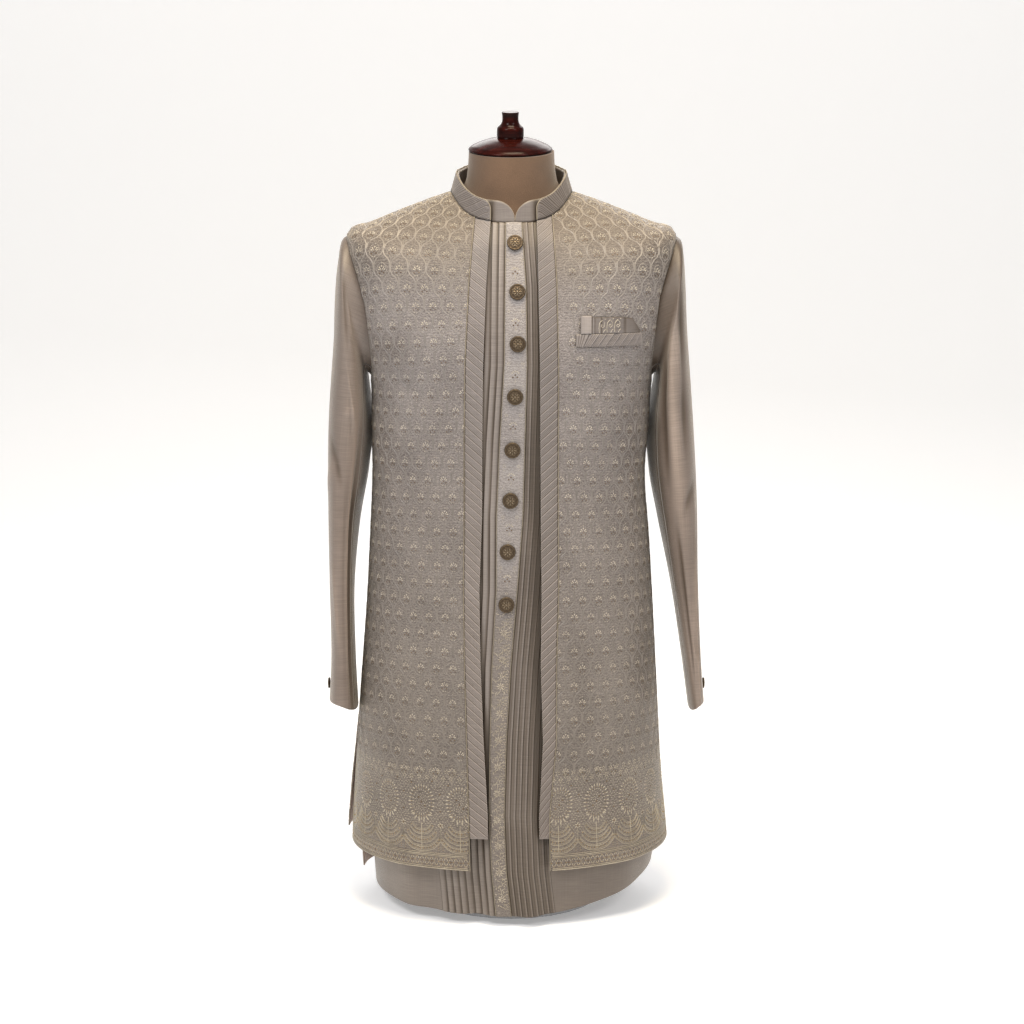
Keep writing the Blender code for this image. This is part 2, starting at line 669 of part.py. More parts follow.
def sleeve_ring_point(side, ring, turn):
    """Point on a ring of the hanging sleeve, turn from the outer side to the front."""
    out = ring.out_left if side == LEFT else ring.out_right
    inner = ring.in_left if side == LEFT else ring.in_right
    c, s = math.cos(turn), math.sin(turn)
    full = 1 + SLEEVE_SQUARE * math.sin(2 * turn) ** 2
    x = (out + inner) / 2 + (out - inner) / 2 * c * full
    y = (ring.y_front + ring.y_back) / 2 + (ring.y_front - ring.y_back) / 2 * s * full
    z = (ring.z_out + ring.z_in) / 2 + (ring.z_out - ring.z_in) / 2 * c
    x -= ring.behind * max(math.cos(turn - BEHIND_TURN), 0) ** 4
    if ring.name == "cuff":
        z += CUFF_FLAT * max(s, 0) ** 2
    return Vector((side * x, y, z)) * MM


def sleeve_column(side, index):
    """Rows of points down one column of the sleeve's outer face."""
    turn = 2 * math.pi * index / SLEEVE_COLUMNS
    edge = armhole_point(side, index)
    first = sleeve_ring_point(side, SLEEVE_RINGS[0], turn)
    controls = [edge + (first - edge).normalized() * SEAM * 1.5]
    controls += [sleeve_ring_point(side, ring, turn) for ring in SLEEVE_RINGS]
    return [Vector([spline([point[axis] for point in controls], row) for axis in range(3)])
            for row in SLEEVE_ROWS]


@lru_cache(maxsize=None)
def sleeve_faces(side):
    """Outer and inner points of the whole sleeve, column by column."""
    outer = [sleeve_column(side, index) for index in range(SLEEVE_COLUMNS)]
    inner = []
    last = len(SLEEVE_ROWS) - 1
    for index, column in enumerate(outer):
        before, after = outer[index - 1], outer[(index + 1) % SLEEVE_COLUMNS]
        hollow = []
        for row, point in enumerate(column):
            down = column[min(row + 1, last)] - column[max(row - 1, 0)]
            normal = (after[row] - before[row]).cross(down).normalized() * side
            hollow.append(point - normal * CLOTH)
        inner.append(hollow)
    return outer, inner


def build_sleeve(side, name, first, last):
    """Upper or under sleeve, between two of the sleeve's columns."""
    faces = []
    for face in sleeve_faces(side):
        columns = [list(face[index % SLEEVE_COLUMNS]) for index in range(first, last + 1)]
        for end, inward in ((0, 1), (-1, -2)):
            columns[end] = [
                a + (b - a).normalized() * SEAM * (SEAM_AT_CAP if row < CAP_ROWS else 0.6)
                for row, (a, b) in enumerate(zip(columns[end], columns[inward]))]
        if side == RIGHT:
            columns.reverse()
        rows = [list(row) for row in zip(*columns)]
        faces.append(rows)
    wall(name, faces[0], faces[1], "silk")


# ---------------------------------------------------------------- buttons

def turned(name, profile, finish, steps):
    """Solid of revolution about Z from (radius, height) points in millimetres, top first."""
    shape = bmesh.new()
    corners = [shape.verts.new((radius * MM, 0, height * MM)) for radius, height in profile]
    for upper, lower in zip(corners, corners[1:]):
        shape.edges.new((upper, lower))
    mesh = bpy.data.meshes.new(name)
    shape.to_mesh(mesh)
    shape.free()
    thing = add_object(name, mesh, finish)
    screw = thing.modifiers.new("Turn", "SCREW")
    screw.steps = steps
    screw.render_steps = steps
    screw.use_merge_vertices = True
    screw.merge_threshold = 0.01 * MM
    return thing


def aim(thing, place, direction):
    turn = Vector((0, 0, 1)).rotation_difference(direction)
    thing.rotation_mode = "QUATERNION"
    thing.rotation_quaternion = turn
    thing.location = place


def button_profile(radius, thick, seat):
    """Rimmed button with a domed middle and a shank, heights above the shank's foot."""
    r, h, foot = radius / MM, thick / MM, seat / MM
    return ((0, foot + h), (0.72 * r, foot + 0.75 * h), (0.84 * r, foot + h),
            (r, foot + 0.6 * h), (0.94 * r, foot), (0.28 * r, foot), (0.28 * r, 0), (0, 0))


def build_buttons():
    for number, button in enumerate(BUTTONS, start=1):
        t = ring_for_height(button.z)
        phi = angle_at(button.x, t, under_point)
        normal = (under_point(phi + 0.02, t) - under_point(phi - 0.02, t)).cross(
            under_point(phi, t + 0.05) - under_point(phi, t - 0.05)).normalized()
        place = under_point(phi, t, 2.5 * LYING + CLOTH)
        thing = turned(f"button_{number}", button_profile(BUTTON_RADIUS, BUTTON_THICK, SHANK),
                       "antique_gold", 12)
        aim(thing, place, normal)


def build_cuff_button(side, name):
    outer = sleeve_faces(side)[0][0]
    low, high = outer[-1], outer[-2]
    share = (CUFF_BUTTON_Z * MM - low.z) / (high.z - low.z)
    place = low.lerp(high, share)
    direction = Vector((side, 0, 0))
    profile = button_profile(CUFF_BUTTON_RADIUS, CUFF_BUTTON_THICK, CUFF_SHANK)
    thing = turned(name, profile, "antique_gold", 10)
    aim(thing, place + direction * LYING, direction)


# ---------------------------------------------------------------- pocket

def front_at(x, z):
    """Angle and ring of the over coat's front at a place across and up, in millimetres."""
    t = ring_for_height(z)
    for _ in range(12):
        phi = angle_at(x, t, over_point)
        t += (z - over_point(phi, t).z / MM) / RING_SPACING
    return phi, t


def pocket_wall(name, x_ends, z_ends, outers, finish, slant=0.0):
    """Small panel lying on the left front; outers lists (share across, lift) per column."""
    points, backs = [], []
    for z, lean in zip(z_ends, (0.0, 1.0)):
        row, back = [], []
        for share, lift in outers:
            inside = min(share, 1 - share) * 6
            x = x_ends[0] + (x_ends[1] - x_ends[0]) * share + slant * lean * min(inside, 1)
            phi, t = front_at(x, z)
            row.append(over_point(phi, t, lift))
            back.append(over_point(phi, t, POCKET_LIFT))
        points.append(row)
        backs.append(back)
    wall(name, points, backs, finish, crease=12)


def build_pocket():
    lift = POCKET_LIFT + WELT_THICK
    outers = [(0.0, lift)]
    for tuck in range(WELT_TUCKS):
        outers.append(((tuck + 0.1) / WELT_TUCKS, lift + TUCK_RISE))
        outers.append(((tuck + 0.9) / WELT_TUCKS, lift))
    outers.append((1.0, lift))
    pocket_wall("pocket_welt", WELT_X, WELT_Z, outers, "tucked_silk", slant=WELT_LEAN)
    folds = [(pleat.at, POCKET_LIFT + SQUARE_THICK + pleat.rise * MM) for pleat in SQUARE_PLEATS]
    pocket_wall("pocket_square", SQUARE_X, (WELT_Z[1] + LYING / MM, SQUARE_TOP_Z), folds, "silk")


# ---------------------------------------------------------------- dress form

def build_form():
    """Closed torso with a neck, following the inside of the under coat."""
    rings = []
    for step in FORM_INSETS:
        ring = []
        for k in range(FORM_COLUMNS):
            phi = 2 * math.pi * k / FORM_COLUMNS
            place = body_point(phi, step.row)
            ring.append(place - body_normal(phi, step.row) * step.inset * MM)
        rings.append(ring)
    for neck in NECK_RINGS:
        ring = []
        for k in range(FORM_COLUMNS):
            phi = 2 * math.pi * k / FORM_COLUMNS
            s, c = math.sin(phi), math.cos(phi)
            deep = neck.deep_front if c > 0 else neck.deep_back
            z_end = neck.z_front if c > 0 else neck.z_back
            z = neck.z_side + (z_end - neck.z_side) * abs(c)
            ring.append(Vector((neck.wide * s, -deep * c, z)) * MM)
        rings.append(ring)
    shape = bmesh.new()
    loops = [[shape.verts.new(point) for point in ring] for ring in rings]
    for low, high in zip(loops, loops[1:]):
        for k in range(FORM_COLUMNS):
            following = (k + 1) % FORM_COLUMNS
            shape.faces.new((low[k], low[following], high[following], high[k]))
    shape.faces.new(loops[0][::-1])
    shape.faces.new(loops[-1])
    mesh = bpy.data.meshes.new("form_torso")
    shape.to_mesh(mesh)
    shape.free()
    add_object("form_torso", mesh, "form_cloth")
    return min(point.z for point in rings[0])


def build_stand(torso_foot):
    axis = Vector((0, -math.sin(CAP_TILT), math.cos(CAP_TILT)))
    aim(turned("neck_cap", CAP_PROFILE, "mahogany", 24), CAP_CENTRE, axis)
    aim(turned("finial", FINIAL_PROFILE, "mahogany", 16), CAP_CENTRE + axis * FINIAL_SEAT, axis)
    thick, radius = BASE_THICK / MM, BASE_RADIUS / MM
    edge = thick / 3
    turned("base_plate", ((0, thick), (radius - edge, thick), (radius, thick - edge),
                          (radius, 0), (0, 0)), "steel", 28)
    foot = BASE_THICK + SEAM
    height = torso_foot - SEAM - foot
    shape = bmesh.new()
    bmesh.ops.create_cone(shape, cap_ends=True, segments=16, radius1=POLE_RADIUS,
                          radius2=POLE_RADIUS, depth=height)
    mesh = bpy.data.meshes.new("pole")
    shape.to_mesh(mesh)
    shape.free()
    pole = add_object("pole", mesh, "steel")
    pole.location = (0, 0, foot + height / 2)


# ---------------------------------------------------------------- whole coat

clear_scene()
COAT = new_collection(OBJECT_NAME)

build_under_front(RIGHT, "under_front_right", PIN_PITCH_RIGHT, "placket_right")
build_under_front(LEFT, "under_front_left", PIN_PITCH_LEFT, "placket_left")
build_back("under_back", under_back_point, "silk", UNDER_BACK_HEM, 0.0)
build_placket()
build_under_collar(RIGHT, "under_collar_right")
build_under_collar(LEFT, "under_collar_left")
for wearer_side, word in ((RIGHT, "right"), (LEFT, "left")):
    build_sleeve(wearer_side, f"upper_sleeve_{word}", BACK_SEAM - SLEEVE_COLUMNS, FRONT_SEAM)
    build_sleeve(wearer_side, f"under_sleeve_{word}", FRONT_SEAM, BACK_SEAM)
    build_cuff_button(wearer_side, f"cuff_button_{word}")
    build_over_front(wearer_side, f"over_front_{word}", f"front_{word}")
    build_band(wearer_side, f"band_{word}", f"band_{word}", f"front_{word}")
    build_over_collar(wearer_side, f"over_collar_{word}", f"band_{word}")
build_back("over_back", over_back_point, "embroidered_silk", OVER_BACK_HEM, OVER_TRIM)
build_buttons()
build_pocket()
build_stand(build_form())
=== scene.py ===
import json
import math
from collections import namedtuple

import bmesh
import bpy
import numpy as np
from mathutils import Matrix, Vector

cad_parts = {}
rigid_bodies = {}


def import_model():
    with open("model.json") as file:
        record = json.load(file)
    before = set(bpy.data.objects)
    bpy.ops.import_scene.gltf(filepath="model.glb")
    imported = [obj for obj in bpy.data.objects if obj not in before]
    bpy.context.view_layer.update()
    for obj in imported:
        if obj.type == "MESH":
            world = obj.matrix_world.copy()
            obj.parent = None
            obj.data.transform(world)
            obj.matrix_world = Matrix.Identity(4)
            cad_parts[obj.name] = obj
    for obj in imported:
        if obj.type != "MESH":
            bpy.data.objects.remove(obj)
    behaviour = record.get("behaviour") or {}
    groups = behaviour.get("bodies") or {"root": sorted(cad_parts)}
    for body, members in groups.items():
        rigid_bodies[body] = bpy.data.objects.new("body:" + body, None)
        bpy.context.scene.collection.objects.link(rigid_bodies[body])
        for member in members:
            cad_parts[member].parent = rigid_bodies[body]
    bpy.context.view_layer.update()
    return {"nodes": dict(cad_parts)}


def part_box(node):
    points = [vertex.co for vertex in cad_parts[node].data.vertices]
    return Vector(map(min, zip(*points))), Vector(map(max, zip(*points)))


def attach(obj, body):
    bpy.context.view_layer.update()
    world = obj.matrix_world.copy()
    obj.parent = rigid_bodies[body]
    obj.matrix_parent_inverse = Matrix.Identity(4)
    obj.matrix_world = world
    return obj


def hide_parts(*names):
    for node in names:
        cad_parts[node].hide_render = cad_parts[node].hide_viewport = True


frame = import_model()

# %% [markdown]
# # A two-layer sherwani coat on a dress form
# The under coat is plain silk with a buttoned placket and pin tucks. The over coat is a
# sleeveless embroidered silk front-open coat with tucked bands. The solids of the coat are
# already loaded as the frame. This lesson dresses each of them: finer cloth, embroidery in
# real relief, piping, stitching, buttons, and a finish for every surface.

MM = 0.001
RIGHT, LEFT = -1, 1                  # the wearer's sides, -X and +X
WORD = {RIGHT: "right", LEFT: "left"}
print("frame loaded:", len(frame["nodes"]), "solids")

# %% [markdown]
# ## Camera, floor and lights
# A long lens a few metres away, a little above the chest, keeps a coat's proportions; a wide
# lens close by would swell its middle. The floor is a plain pale sweep that curves up behind
# the form, so that no horizon shows. Broad soft lights stand in for the studio's boxes: a
# warm one overhead, which gilds the shoulders, two in front, and one behind for the edges.

# %% Camera
CAMERA_AWAY, CAMERA_HEIGHT, CAMERA_PITCH, LENS = 3.0, 1.012, 9.0, 78.0
camera = bpy.data.objects.new("camera", bpy.data.cameras.new("camera"))
camera.data.lens, camera.data.sensor_width = LENS, 36.0
camera.data.shift_x = 0.0005
camera.location = (0, -CAMERA_AWAY, CAMERA_HEIGHT)
camera.rotation_euler = (math.radians(90 - CAMERA_PITCH), 0, 0)
bpy.context.scene.collection.objects.link(camera)
bpy.context.scene.camera = camera
bpy.context.scene.view_settings.view_transform = "Standard"
print("camera", CAMERA_AWAY, "m away, lens", LENS, "mm")

# %% [markdown]
# ## Helpers for finishes and pieces
# A finish is a small graph of nodes. Added by hand, each node takes several lines; a helper
# that adds a node, fills its inputs and hands back its output keeps each finish readable.

# %% A bench for building node trees
class Bench:
    """Adds nodes to a tree. An input given as a socket is linked, anything else is set."""

    def __init__(self, tree):
        self.tree = tree

    def add(self, kind, inputs=None, **settings):
        node = self.tree.nodes.new(kind)
        for key, value in settings.items():
            setattr(node, key, value)
        for key, value in (inputs or {}).items():
            if isinstance(value, bpy.types.NodeSocket):
                self.tree.links.new(value, node.inputs[key])
            else:
                node.inputs[key].default_value = value
        return node

    def maths(self, operation, *values, kind="ShaderNodeMath"):
        return self.add(kind, dict(enumerate(values)), operation=operation).outputs[0]

    def place(self):
        """Coordinates on the object, in metres."""
        return self.add("ShaderNodeTexCoord").outputs["Object"]

    def spread(self, value, low, high, start=0.0, end=1.0):
        """Maps values from start to end onto low to high."""
        return self.add("ShaderNodeMapRange", {"Value": value, "From Min": start, "From Max": end,
                                               "To Min": low, "To Max": high}).outputs[0]

    def bump(self, height, strength, distance):
        return self.add("ShaderNodeBump", {"Strength": strength, "Distance": distance,
                                           "Height": height}).outputs[0]

    def finish(self, shader, **outputs):
        """Links outputs to a shader's inputs, named with underscores for their spaces."""
        for key, output in outputs.items():
            self.tree.links.new(output, shader.inputs[key.replace("_", " ")])


def colour(red, green, blue):
    """Linear colour from the 0-255 values of a swatch."""
    linear = [((v / 255 + 0.055) / 1.055) ** 2.4 for v in (red, green, blue)]
    return (*linear, 1.0)


def new_finish(name, base, roughness, **sockets):
    """Material with a Principled shader whose plain sockets are set directly."""
    material = bpy.data.materials.new(name)
    material.use_nodes = True
    bench = Bench(material.node_tree)
    shader = material.node_tree.nodes["Principled BSDF"]
    shader.inputs["Base Color"].default_value = base
    shader.inputs["Roughness"].default_value = roughness
    for key, value in sockets.items():
        shader.inputs[key.replace("_", " ").title().replace("Ior", "IOR")].default_value = value
    return material, bench, shader


def belongs(piece, slot, *replaced):
    """Puts a piece on the garment's one body, in place of the solids it renders, which it hides. The
    slot is not used.
    """
    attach(piece, "root")
    if replaced:
        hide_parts(*replaced)


print("helpers ready")

# %% Floor sweep
FLOOR_WIDE, FLOOR_NEAR, FLOOR_FAR, SWEEP_RADIUS, SWEEP_TOP = 14.0, -9.0, 2.5, 2.0, 9.0
profile = [(FLOOR_NEAR, 0.0), (FLOOR_FAR, 0.0)]
profile += [(FLOOR_FAR + SWEEP_RADIUS * math.sin(a), SWEEP_RADIUS * (1 - math.cos(a)))
            for a in np.linspace(0.1, math.pi / 2, 16)]
profile.append((FLOOR_FAR + SWEEP_RADIUS, SWEEP_TOP))
corners = [(x, y, z) for y, z in profile for x in (-FLOOR_WIDE / 2, FLOOR_WIDE / 2)]
floor_mesh = bpy.data.meshes.new("floor")
floor_mesh.from_pydata(corners, [], [(k, k + 1, k + 3, k + 2)
                                     for k in range(0, len(corners) - 2, 2)])
floor_mesh.shade_smooth()
floor = bpy.data.objects.new("floor", floor_mesh)
bpy.context.scene.collection.objects.link(floor)
floor_finish, bench, shader = new_finish("pale_paper", colour(240, 240, 241), 0.9,
                                         emission_color=(1.0, 1.0, 1.0, 1.0),
                                         emission_strength=0.30)
grain = bench.add("ShaderNodeTexNoise", {"Scale": 3.0, "Detail": 4.0, "Vector": bench.place()})
bench.finish(shader, Roughness=bench.spread(grain.outputs[0], 0.88, 0.92))
floor_mesh.materials.append(floor_finish)
print("floor sweep", len(floor_mesh.polygons), "faces")

# %% Studio lights
Lamp = namedtuple("Lamp", "name place aim wide tall power tint")
LAMPS = (
    Lamp("overhead_warm", (0.1, -0.55, 2.7), (0, 0.0, 0.95), 1.1, 0.7, 50, (1.0, 0.84, 0.60)),
    Lamp("front_left", (-1.4, -1.9, 2.55), (0, 0, 0.9), 0.9, 0.9, 44, (1.0, 0.99, 0.98)),
    Lamp("front_right", (1.7, -2.1, 2.4), (0, 0, 0.85), 0.9, 0.9, 26, (1.0, 0.98, 0.97)),
    Lamp("back_rim", (0.3, 2.4, 2.4), (0, 0, 0.9), 2.2, 1.2, 30, (1.0, 0.98, 0.96)),
)
for lamp in LAMPS:
    light = bpy.data.lights.new(lamp.name, "AREA")
    light.shape, light.size, light.size_y = "RECTANGLE", lamp.wide, lamp.tall
    light.energy, light.color = lamp.power, lamp.tint
    holder = bpy.data.objects.new(lamp.name, light)
    holder.location = lamp.place
    aim = Vector(lamp.aim) - Vector(lamp.place)
    holder.rotation_euler = aim.to_track_quat("-Z", "Y").to_euler()
    holder.visible_camera = False
    bpy.context.scene.collection.objects.link(holder)

world = bpy.data.worlds.new("white_room")
world.use_nodes = True
bpy.context.scene.world = world
sky = world.node_tree.nodes["Background"]
sky.inputs["Color"].default_value = (1.0, 0.995, 0.985, 1.0)
sky.inputs["Strength"].default_value = 0.34
print("lamps:", len(LAMPS))

# %% [markdown]
# ## The body of the coat as a smooth face
# A tailor fits a coat on a form by girths at set heights. The same girths, from hem to neck,
# are kept here as rings, and a smooth curve runs up through them. Each ring is tilted, since
# a seam line that is level on the flat cloth dips in front. Working from one face keeps the
# two layers, the bands and everything sewn to them exactly on each other.

# %% Rings of the coat
CLOTH = 2.0 * MM                     # lined silk
SEAM = 0.3 * MM                      # between two pieces sewn edge to edge
LYING = 0.4 * MM                     # between a panel and what lies on it
RING_COLUMNS = ("z_front", "z_right", "z_left", "z_back", "wide_right", "wide_left",
                "deep_front", "deep_back", "square", "gap_front", "gap_right", "gap_left",
                "gap_back")
RINGS = np.array((
    (14, 22, 54, 26, 190.0, 196.0, 155, 142, 0.03, 8.0, 30.0, 18.0, 9.0),      # under hem
    (77, 80, 83, 79, 193.0, 198.0, 152, 140, 0.03, 8.0, 27.0, 16.5, 9.0),      # over hem
    (190, 190, 190, 190, 194.0, 192.0, 146, 136, 0.03, 7.0, 20.0, 13.0, 8.0),  # thigh
    (300, 300, 300, 300, 192.5, 187.5, 139, 132, 0.03, 6.0, 13.5, 11.0, 6.5),  # seat
    (410, 412, 412, 412, 187.0, 183.5, 132, 126, 0.03, 4.5, 10.0, 8.5, 5.0),   # hip
    (500, 505, 505, 505, 184.5, 180.0, 127, 119, 0.03, 3.2, 7.0, 6.0, 3.5),    # high hip
    (585, 590, 590, 590, 183.0, 175.5, 125, 113, 0.03, 2.4, 4.5, 4.0, 2.5),    # waist
    (655, 658, 658, 660, 185.0, 181.0, 127, 114, 0.03, 2.1, 3.0, 3.0, 1.8),    # ribs
    (715, 720, 720, 722, 186.5, 186.0, 129, 118, 0.03, 2.4, 2.0, 2.0, 1.4),    # armpit
    (768, 782, 782, 782, 200.0, 201.0, 129, 122, 0.04, 2.4, 1.4, 1.4, 1.2),    # chest
    (812, 849, 849, 843, 211.0, 211.0, 124, 121, 0.04, 2.4, 1.1, 1.1, 1.1),    # upper chest
    (853, 914, 914, 900, 217.5, 216.5, 115, 112, 0.03, 2.4, 1.5, 2.3, 1.1),    # shoulder point
    (880, 929, 929, 927, 186.0, 186.0, 107, 103, 0.02, 2.4, 1.0, 1.0, 1.0),
    (901, 945, 945, 951, 147.0, 147.0, 100, 93, 0.01, 2.4, 1.0, 1.0, 1.0),
    (917, 959, 959, 969, 110.0, 110.0, 93, 84, 0.00, 2.4, 1.0, 1.0, 1.0),
    (932, 969, 969, 983, 79.5, 79.5, 86, 75, 0.00, 2.4, 1.0, 1.0, 1.0),        # neck seam
))
UNDER_HEM, OVER_HEM, ARMPIT, SHOULDER, NECK = 0, 1, 8, 11, 15
SLOPE = 12                           # above this ring the front of a ring runs flatter
print("rings:", len(RINGS))

# %% The face through the rings
def soft_step(x):
    x = np.clip(x, 0.0, 1.0)
    return x * x * (3 - 2 * x)


def through(values, t):
    """Smooth curve through the rows of a table, at row positions t."""
    t = np.asarray(t, float)
    last = len(values) - 1
    row = np.clip(np.floor(t).astype(int), 0, last - 1)
    f = (t - row).reshape(t.shape + (1,) * (values.ndim - 1))
    a, b = values[np.maximum(row - 1, 0)], values[row]
    c, d = values[row + 1], values[np.minimum(row + 2, last)]
    return b + 0.5 * f * (c - a + f * (2 * a - 5 * b + 4 * c - d + f * (3 * (b - c) + d - a)))


def ring_at(t):
    return dict(zip(RING_COLUMNS, np.moveaxis(through(RINGS, t), -1, 0)))


def body_face(phi, t):
    """Under coat's outer face: phi round the body from the front, t rings up from the hem."""
    phi, t = np.broadcast_arrays(phi, t)
    ring = ring_at(t)
    s, c = np.sin(phi), np.cos(phi)
    wide = np.where(s > 0, ring["wide_left"], ring["wide_right"])
    deep = np.where(c > 0, ring["deep_front"], ring["deep_back"])
    z_end = np.where(c > 0, ring["z_front"], ring["z_back"])
    z_side = np.where(s > 0, ring["z_left"], ring["z_right"])
    full = 1 + ring["square"] * np.sin(2 * phi) ** 2
    flat = soft_step((t - SLOPE) / (NECK - SLOPE)) * (c > 0)
    up = s * s * (1 - flat * c * c)
    return np.stack((wide * s * full, -deep * c * full, z_side * up + z_end * (1 - up)), -1) * MM


def unit(vectors):
    return vectors / np.maximum(np.linalg.norm(vectors, axis=-1, keepdims=True), 1e-9)


def body_outward(phi, t):
    phi, t = np.broadcast_arrays(phi, t)
    across = body_face(phi + 0.01, t) - body_face(phi - 0.01, t)
    up = body_face(phi, np.minimum(t + 0.02, NECK)) - body_face(phi, np.maximum(t - 0.02, 0))
    return unit(np.cross(across, up))


print("the face ends at the neck seam, ring", NECK)

# %% [markdown]
# ## Folds and creases
# Big folds come from the cut: the skirt's flutes and the slit that stands open. Small
# creases come from handling and from seams that pull. Both layers lie together, so they
# share the creases. Each is a soft trough or ridge along a short line, none the same
# length or depth as the next.

# %% Folds of the skirts
Fold = namedtuple("Fold", "angle spread depth z_top z_full")
SHARED_FOLDS = (
    Fold(-150, 24, 8.0, 520, 60), Fold(-175, 22, -6.0, 480, 60), Fold(156, 24, 8.0, 500, 60),
    Fold(118, 24, 4.0, 430, 60), Fold(-44, 14, 3.0, 420, 60), Fold(47, 15, 3.0, 380, 60),
)
UNDER_FOLDS = (Fold(7.5, 7, 8.0, 330, 40), Fold(-14, 7, -9.0, 380, 60),
               Fold(-34, 10, -5.0, 300, 40))
OVER_SLIT_FLARE = (Fold(-90, 34, 7.0, 300, 80),)
UNDER_SLIT_FLARE = (Fold(-90, 40, 17.0, 270, 50),)


def fold_height(folds, phi, z):
    total = np.zeros(np.broadcast(phi, z).shape)
    for fold in folds:
        turn = (np.degrees(phi) - fold.angle + 180) % 360 - 180
        bell = np.where(abs(turn) < fold.spread, 0.5 + 0.5 * np.cos(np.pi * turn / fold.spread), 0)
        total = total + fold.depth * bell * soft_step((fold.z_top - z)
                                                      / (fold.z_top - fold.z_full))
    return total * MM


print("folds:", len(SHARED_FOLDS + UNDER_FOLDS + OVER_SLIT_FLARE + UNDER_SLIT_FLARE))

# %% Creases shared by both layers
Crease = namedtuple("Crease", "angle z angle_end z_end width depth")
BODY_CREASES = (
    Crease(-62, 742, -30, 700, 9, -1.6), Crease(-60, 700, -36, 640, 11, -1.2),
    Crease(-72, 660, -52, 560, 13, 1.5), Crease(-48, 610, -26, 590, 9, -0.9),
    Crease(-66, 520, -40, 500, 12, 1.1), Crease(-30, 470, -52, 400, 15, 1.4),
    Crease(60, 748, 34, 712, 10, -1.5), Crease(63, 690, 40, 622, 12, -1.3),
    Crease(70, 640, 54, 540, 12, 1.6), Crease(50, 585, 28, 570, 8, -0.8),
    Crease(68, 505, 44, 478, 13, 1.0), Crease(34, 452, 50, 372, 16, 1.3),
    Crease(-75, 800, -58, 838, 8, -1.0), Crease(74, 806, 60, 846, 8, -0.9),
    Crease(118, 752, 150, 700, 11, -1.5), Crease(112, 690, 146, 628, 13, 1.3),
    Crease(-116, 748, -148, 706, 11, -1.4), Crease(-110, 680, -150, 612, 12, 1.2),
    Crease(165, 640, 196, 628, 10, -1.1), Crease(160, 585, 200, 592, 12, 1.2),
    Crease(135, 520, 168, 470, 15, 1.3), Crease(-140, 540, -166, 480, 14, -1.1),
)
GIRTH_RADIUS = 165.0                 # turns an angle round the body into millimetres


def soft_line(x, y, along, up, width, gain, start):
    """1 on a line from the origin to (along, up), less beside it and towards its ends."""
    length = math.hypot(along, up)
    share, off = (x * along + y * up) / length ** 2, (x * up - y * along) / length
    ends = soft_step(share * gain + start) * soft_step((1 - share) * gain + start)
    return np.exp(-(off / width) ** 2) * ends


def crease_height(creases, phi, z):
    """Lift in metres from soft lines, each fading towards its ends."""
    degrees = np.degrees(phi)
    total = np.zeros(np.broadcast(phi, z).shape)
    for crease in creases:
        turn = (degrees - crease.angle + 180) % 360 - 180
        along = (crease.angle_end - crease.angle) * math.radians(GIRTH_RADIUS)
        x, y = turn * math.radians(GIRTH_RADIUS), z - crease.z
        total = total + crease.depth * soft_line(x, y, along, crease.z_end - crease.z,
                                                 crease.width, 2.5, 0.25)
    return total * MM


def shared_lift(phi, z):
    return fold_height(SHARED_FOLDS, phi, z) + crease_height(BODY_CREASES, phi, z)


def under_face(phi, t, lift=0.0):
    place = body_face(phi, t)
    z = place[..., 2] / MM
    height = shared_lift(phi, z) + fold_height(UNDER_FOLDS, phi, z) + lift
    return place + body_outward(phi, t) * height[..., None]


def gap_at(phi, t):
    ring = ring_at(t)
    s, c = np.sin(phi), np.cos(phi)
    side = np.where(s > 0, ring["gap_left"], ring["gap_right"])
    end = np.where(c > 0, ring["gap_front"], ring["gap_back"])
    return (side * s * s + end * c * c) * MM


def over_face(phi, t, lift=0.0):
    place = body_face(phi, t)
    height = shared_lift(phi, place[..., 2] / MM) + gap_at(phi, t) + CLOTH + lift
    return place + body_outward(phi, t) * height[..., None]


def over_back_face(phi, t, lift=0.0):
    z = body_face(phi, t)[..., 2] / MM
    return over_face(phi, t, lift + fold_height(OVER_SLIT_FLARE, phi, z))


def under_back_face(phi, t, lift=0.0):
    z = body_face(phi, t)[..., 2] / MM
    return under_face(phi, t, lift + fold_height(UNDER_SLIT_FLARE, phi, z))


print("creases:", len(BODY_CREASES))

# %% Front edges and seams
EDGE_COLUMNS = ("z", "placket_right", "placket_left", "band_right", "band_left",
                "front_right", "front_left")
EDGES = np.array((
    (12, -20.4, 0.1, -31.2, 38.4, -55.2, 52.5), (74, -26.0, -6.9, -31.2, 38.4, -55.2, 51.5),
    (150, -29.7, -9.7, -31.6, 37.0, -57.0, 50.5), (250, -28.4, -6.9, -37.0, 42.0, -59.5, 59.5),
    (350, -25.8, -1.1, -41.0, 39.0, -62.1, 59.5), (450, -20.0, 7.3, -42.5, 39.9, -63.2, 62.2),
    (550, -19.5, 14.9, -38.8, 38.7, -62.2, 61.4), (650, -15.1, 17.4, -38.4, 38.0, -61.9, 61.1),
    (750, -9.2, 20.1, -36.9, 37.3, -60.6, 61.2), (850, -8.2, 18.8, -32.8, 35.1, -55.3, 58.8),
    (936, -7.2, 12.8, -27.4, 33.4, -48.2, 53.5),
))
ARMHOLE_SPREAD = math.radians(25)
OVER_TRIM = math.radians(0.9)        # the over coat's armhole is cut a little wider


def edge_x(field, t):
    """Distance across of a named front edge, in metres."""
    column = EDGES[:, EDGE_COLUMNS.index(field)]
    return np.interp(ring_at(t)["z_front"], EDGES[:, 0], column) * MM


def angle_at(x, t, face):
    """Angle on a front face where it lies a distance x across, at rings t."""
    x, t = np.broadcast_arrays(x, t)
    low, high = np.full(x.shape, -1.3), np.full(x.shape, 1.3)
    for _ in range(26):
        middle = (low + high) / 2
        short = face(middle, t)[..., 0] < x
        low, high = np.where(short, middle, low), np.where(short, high, middle)
    return (low + high) / 2


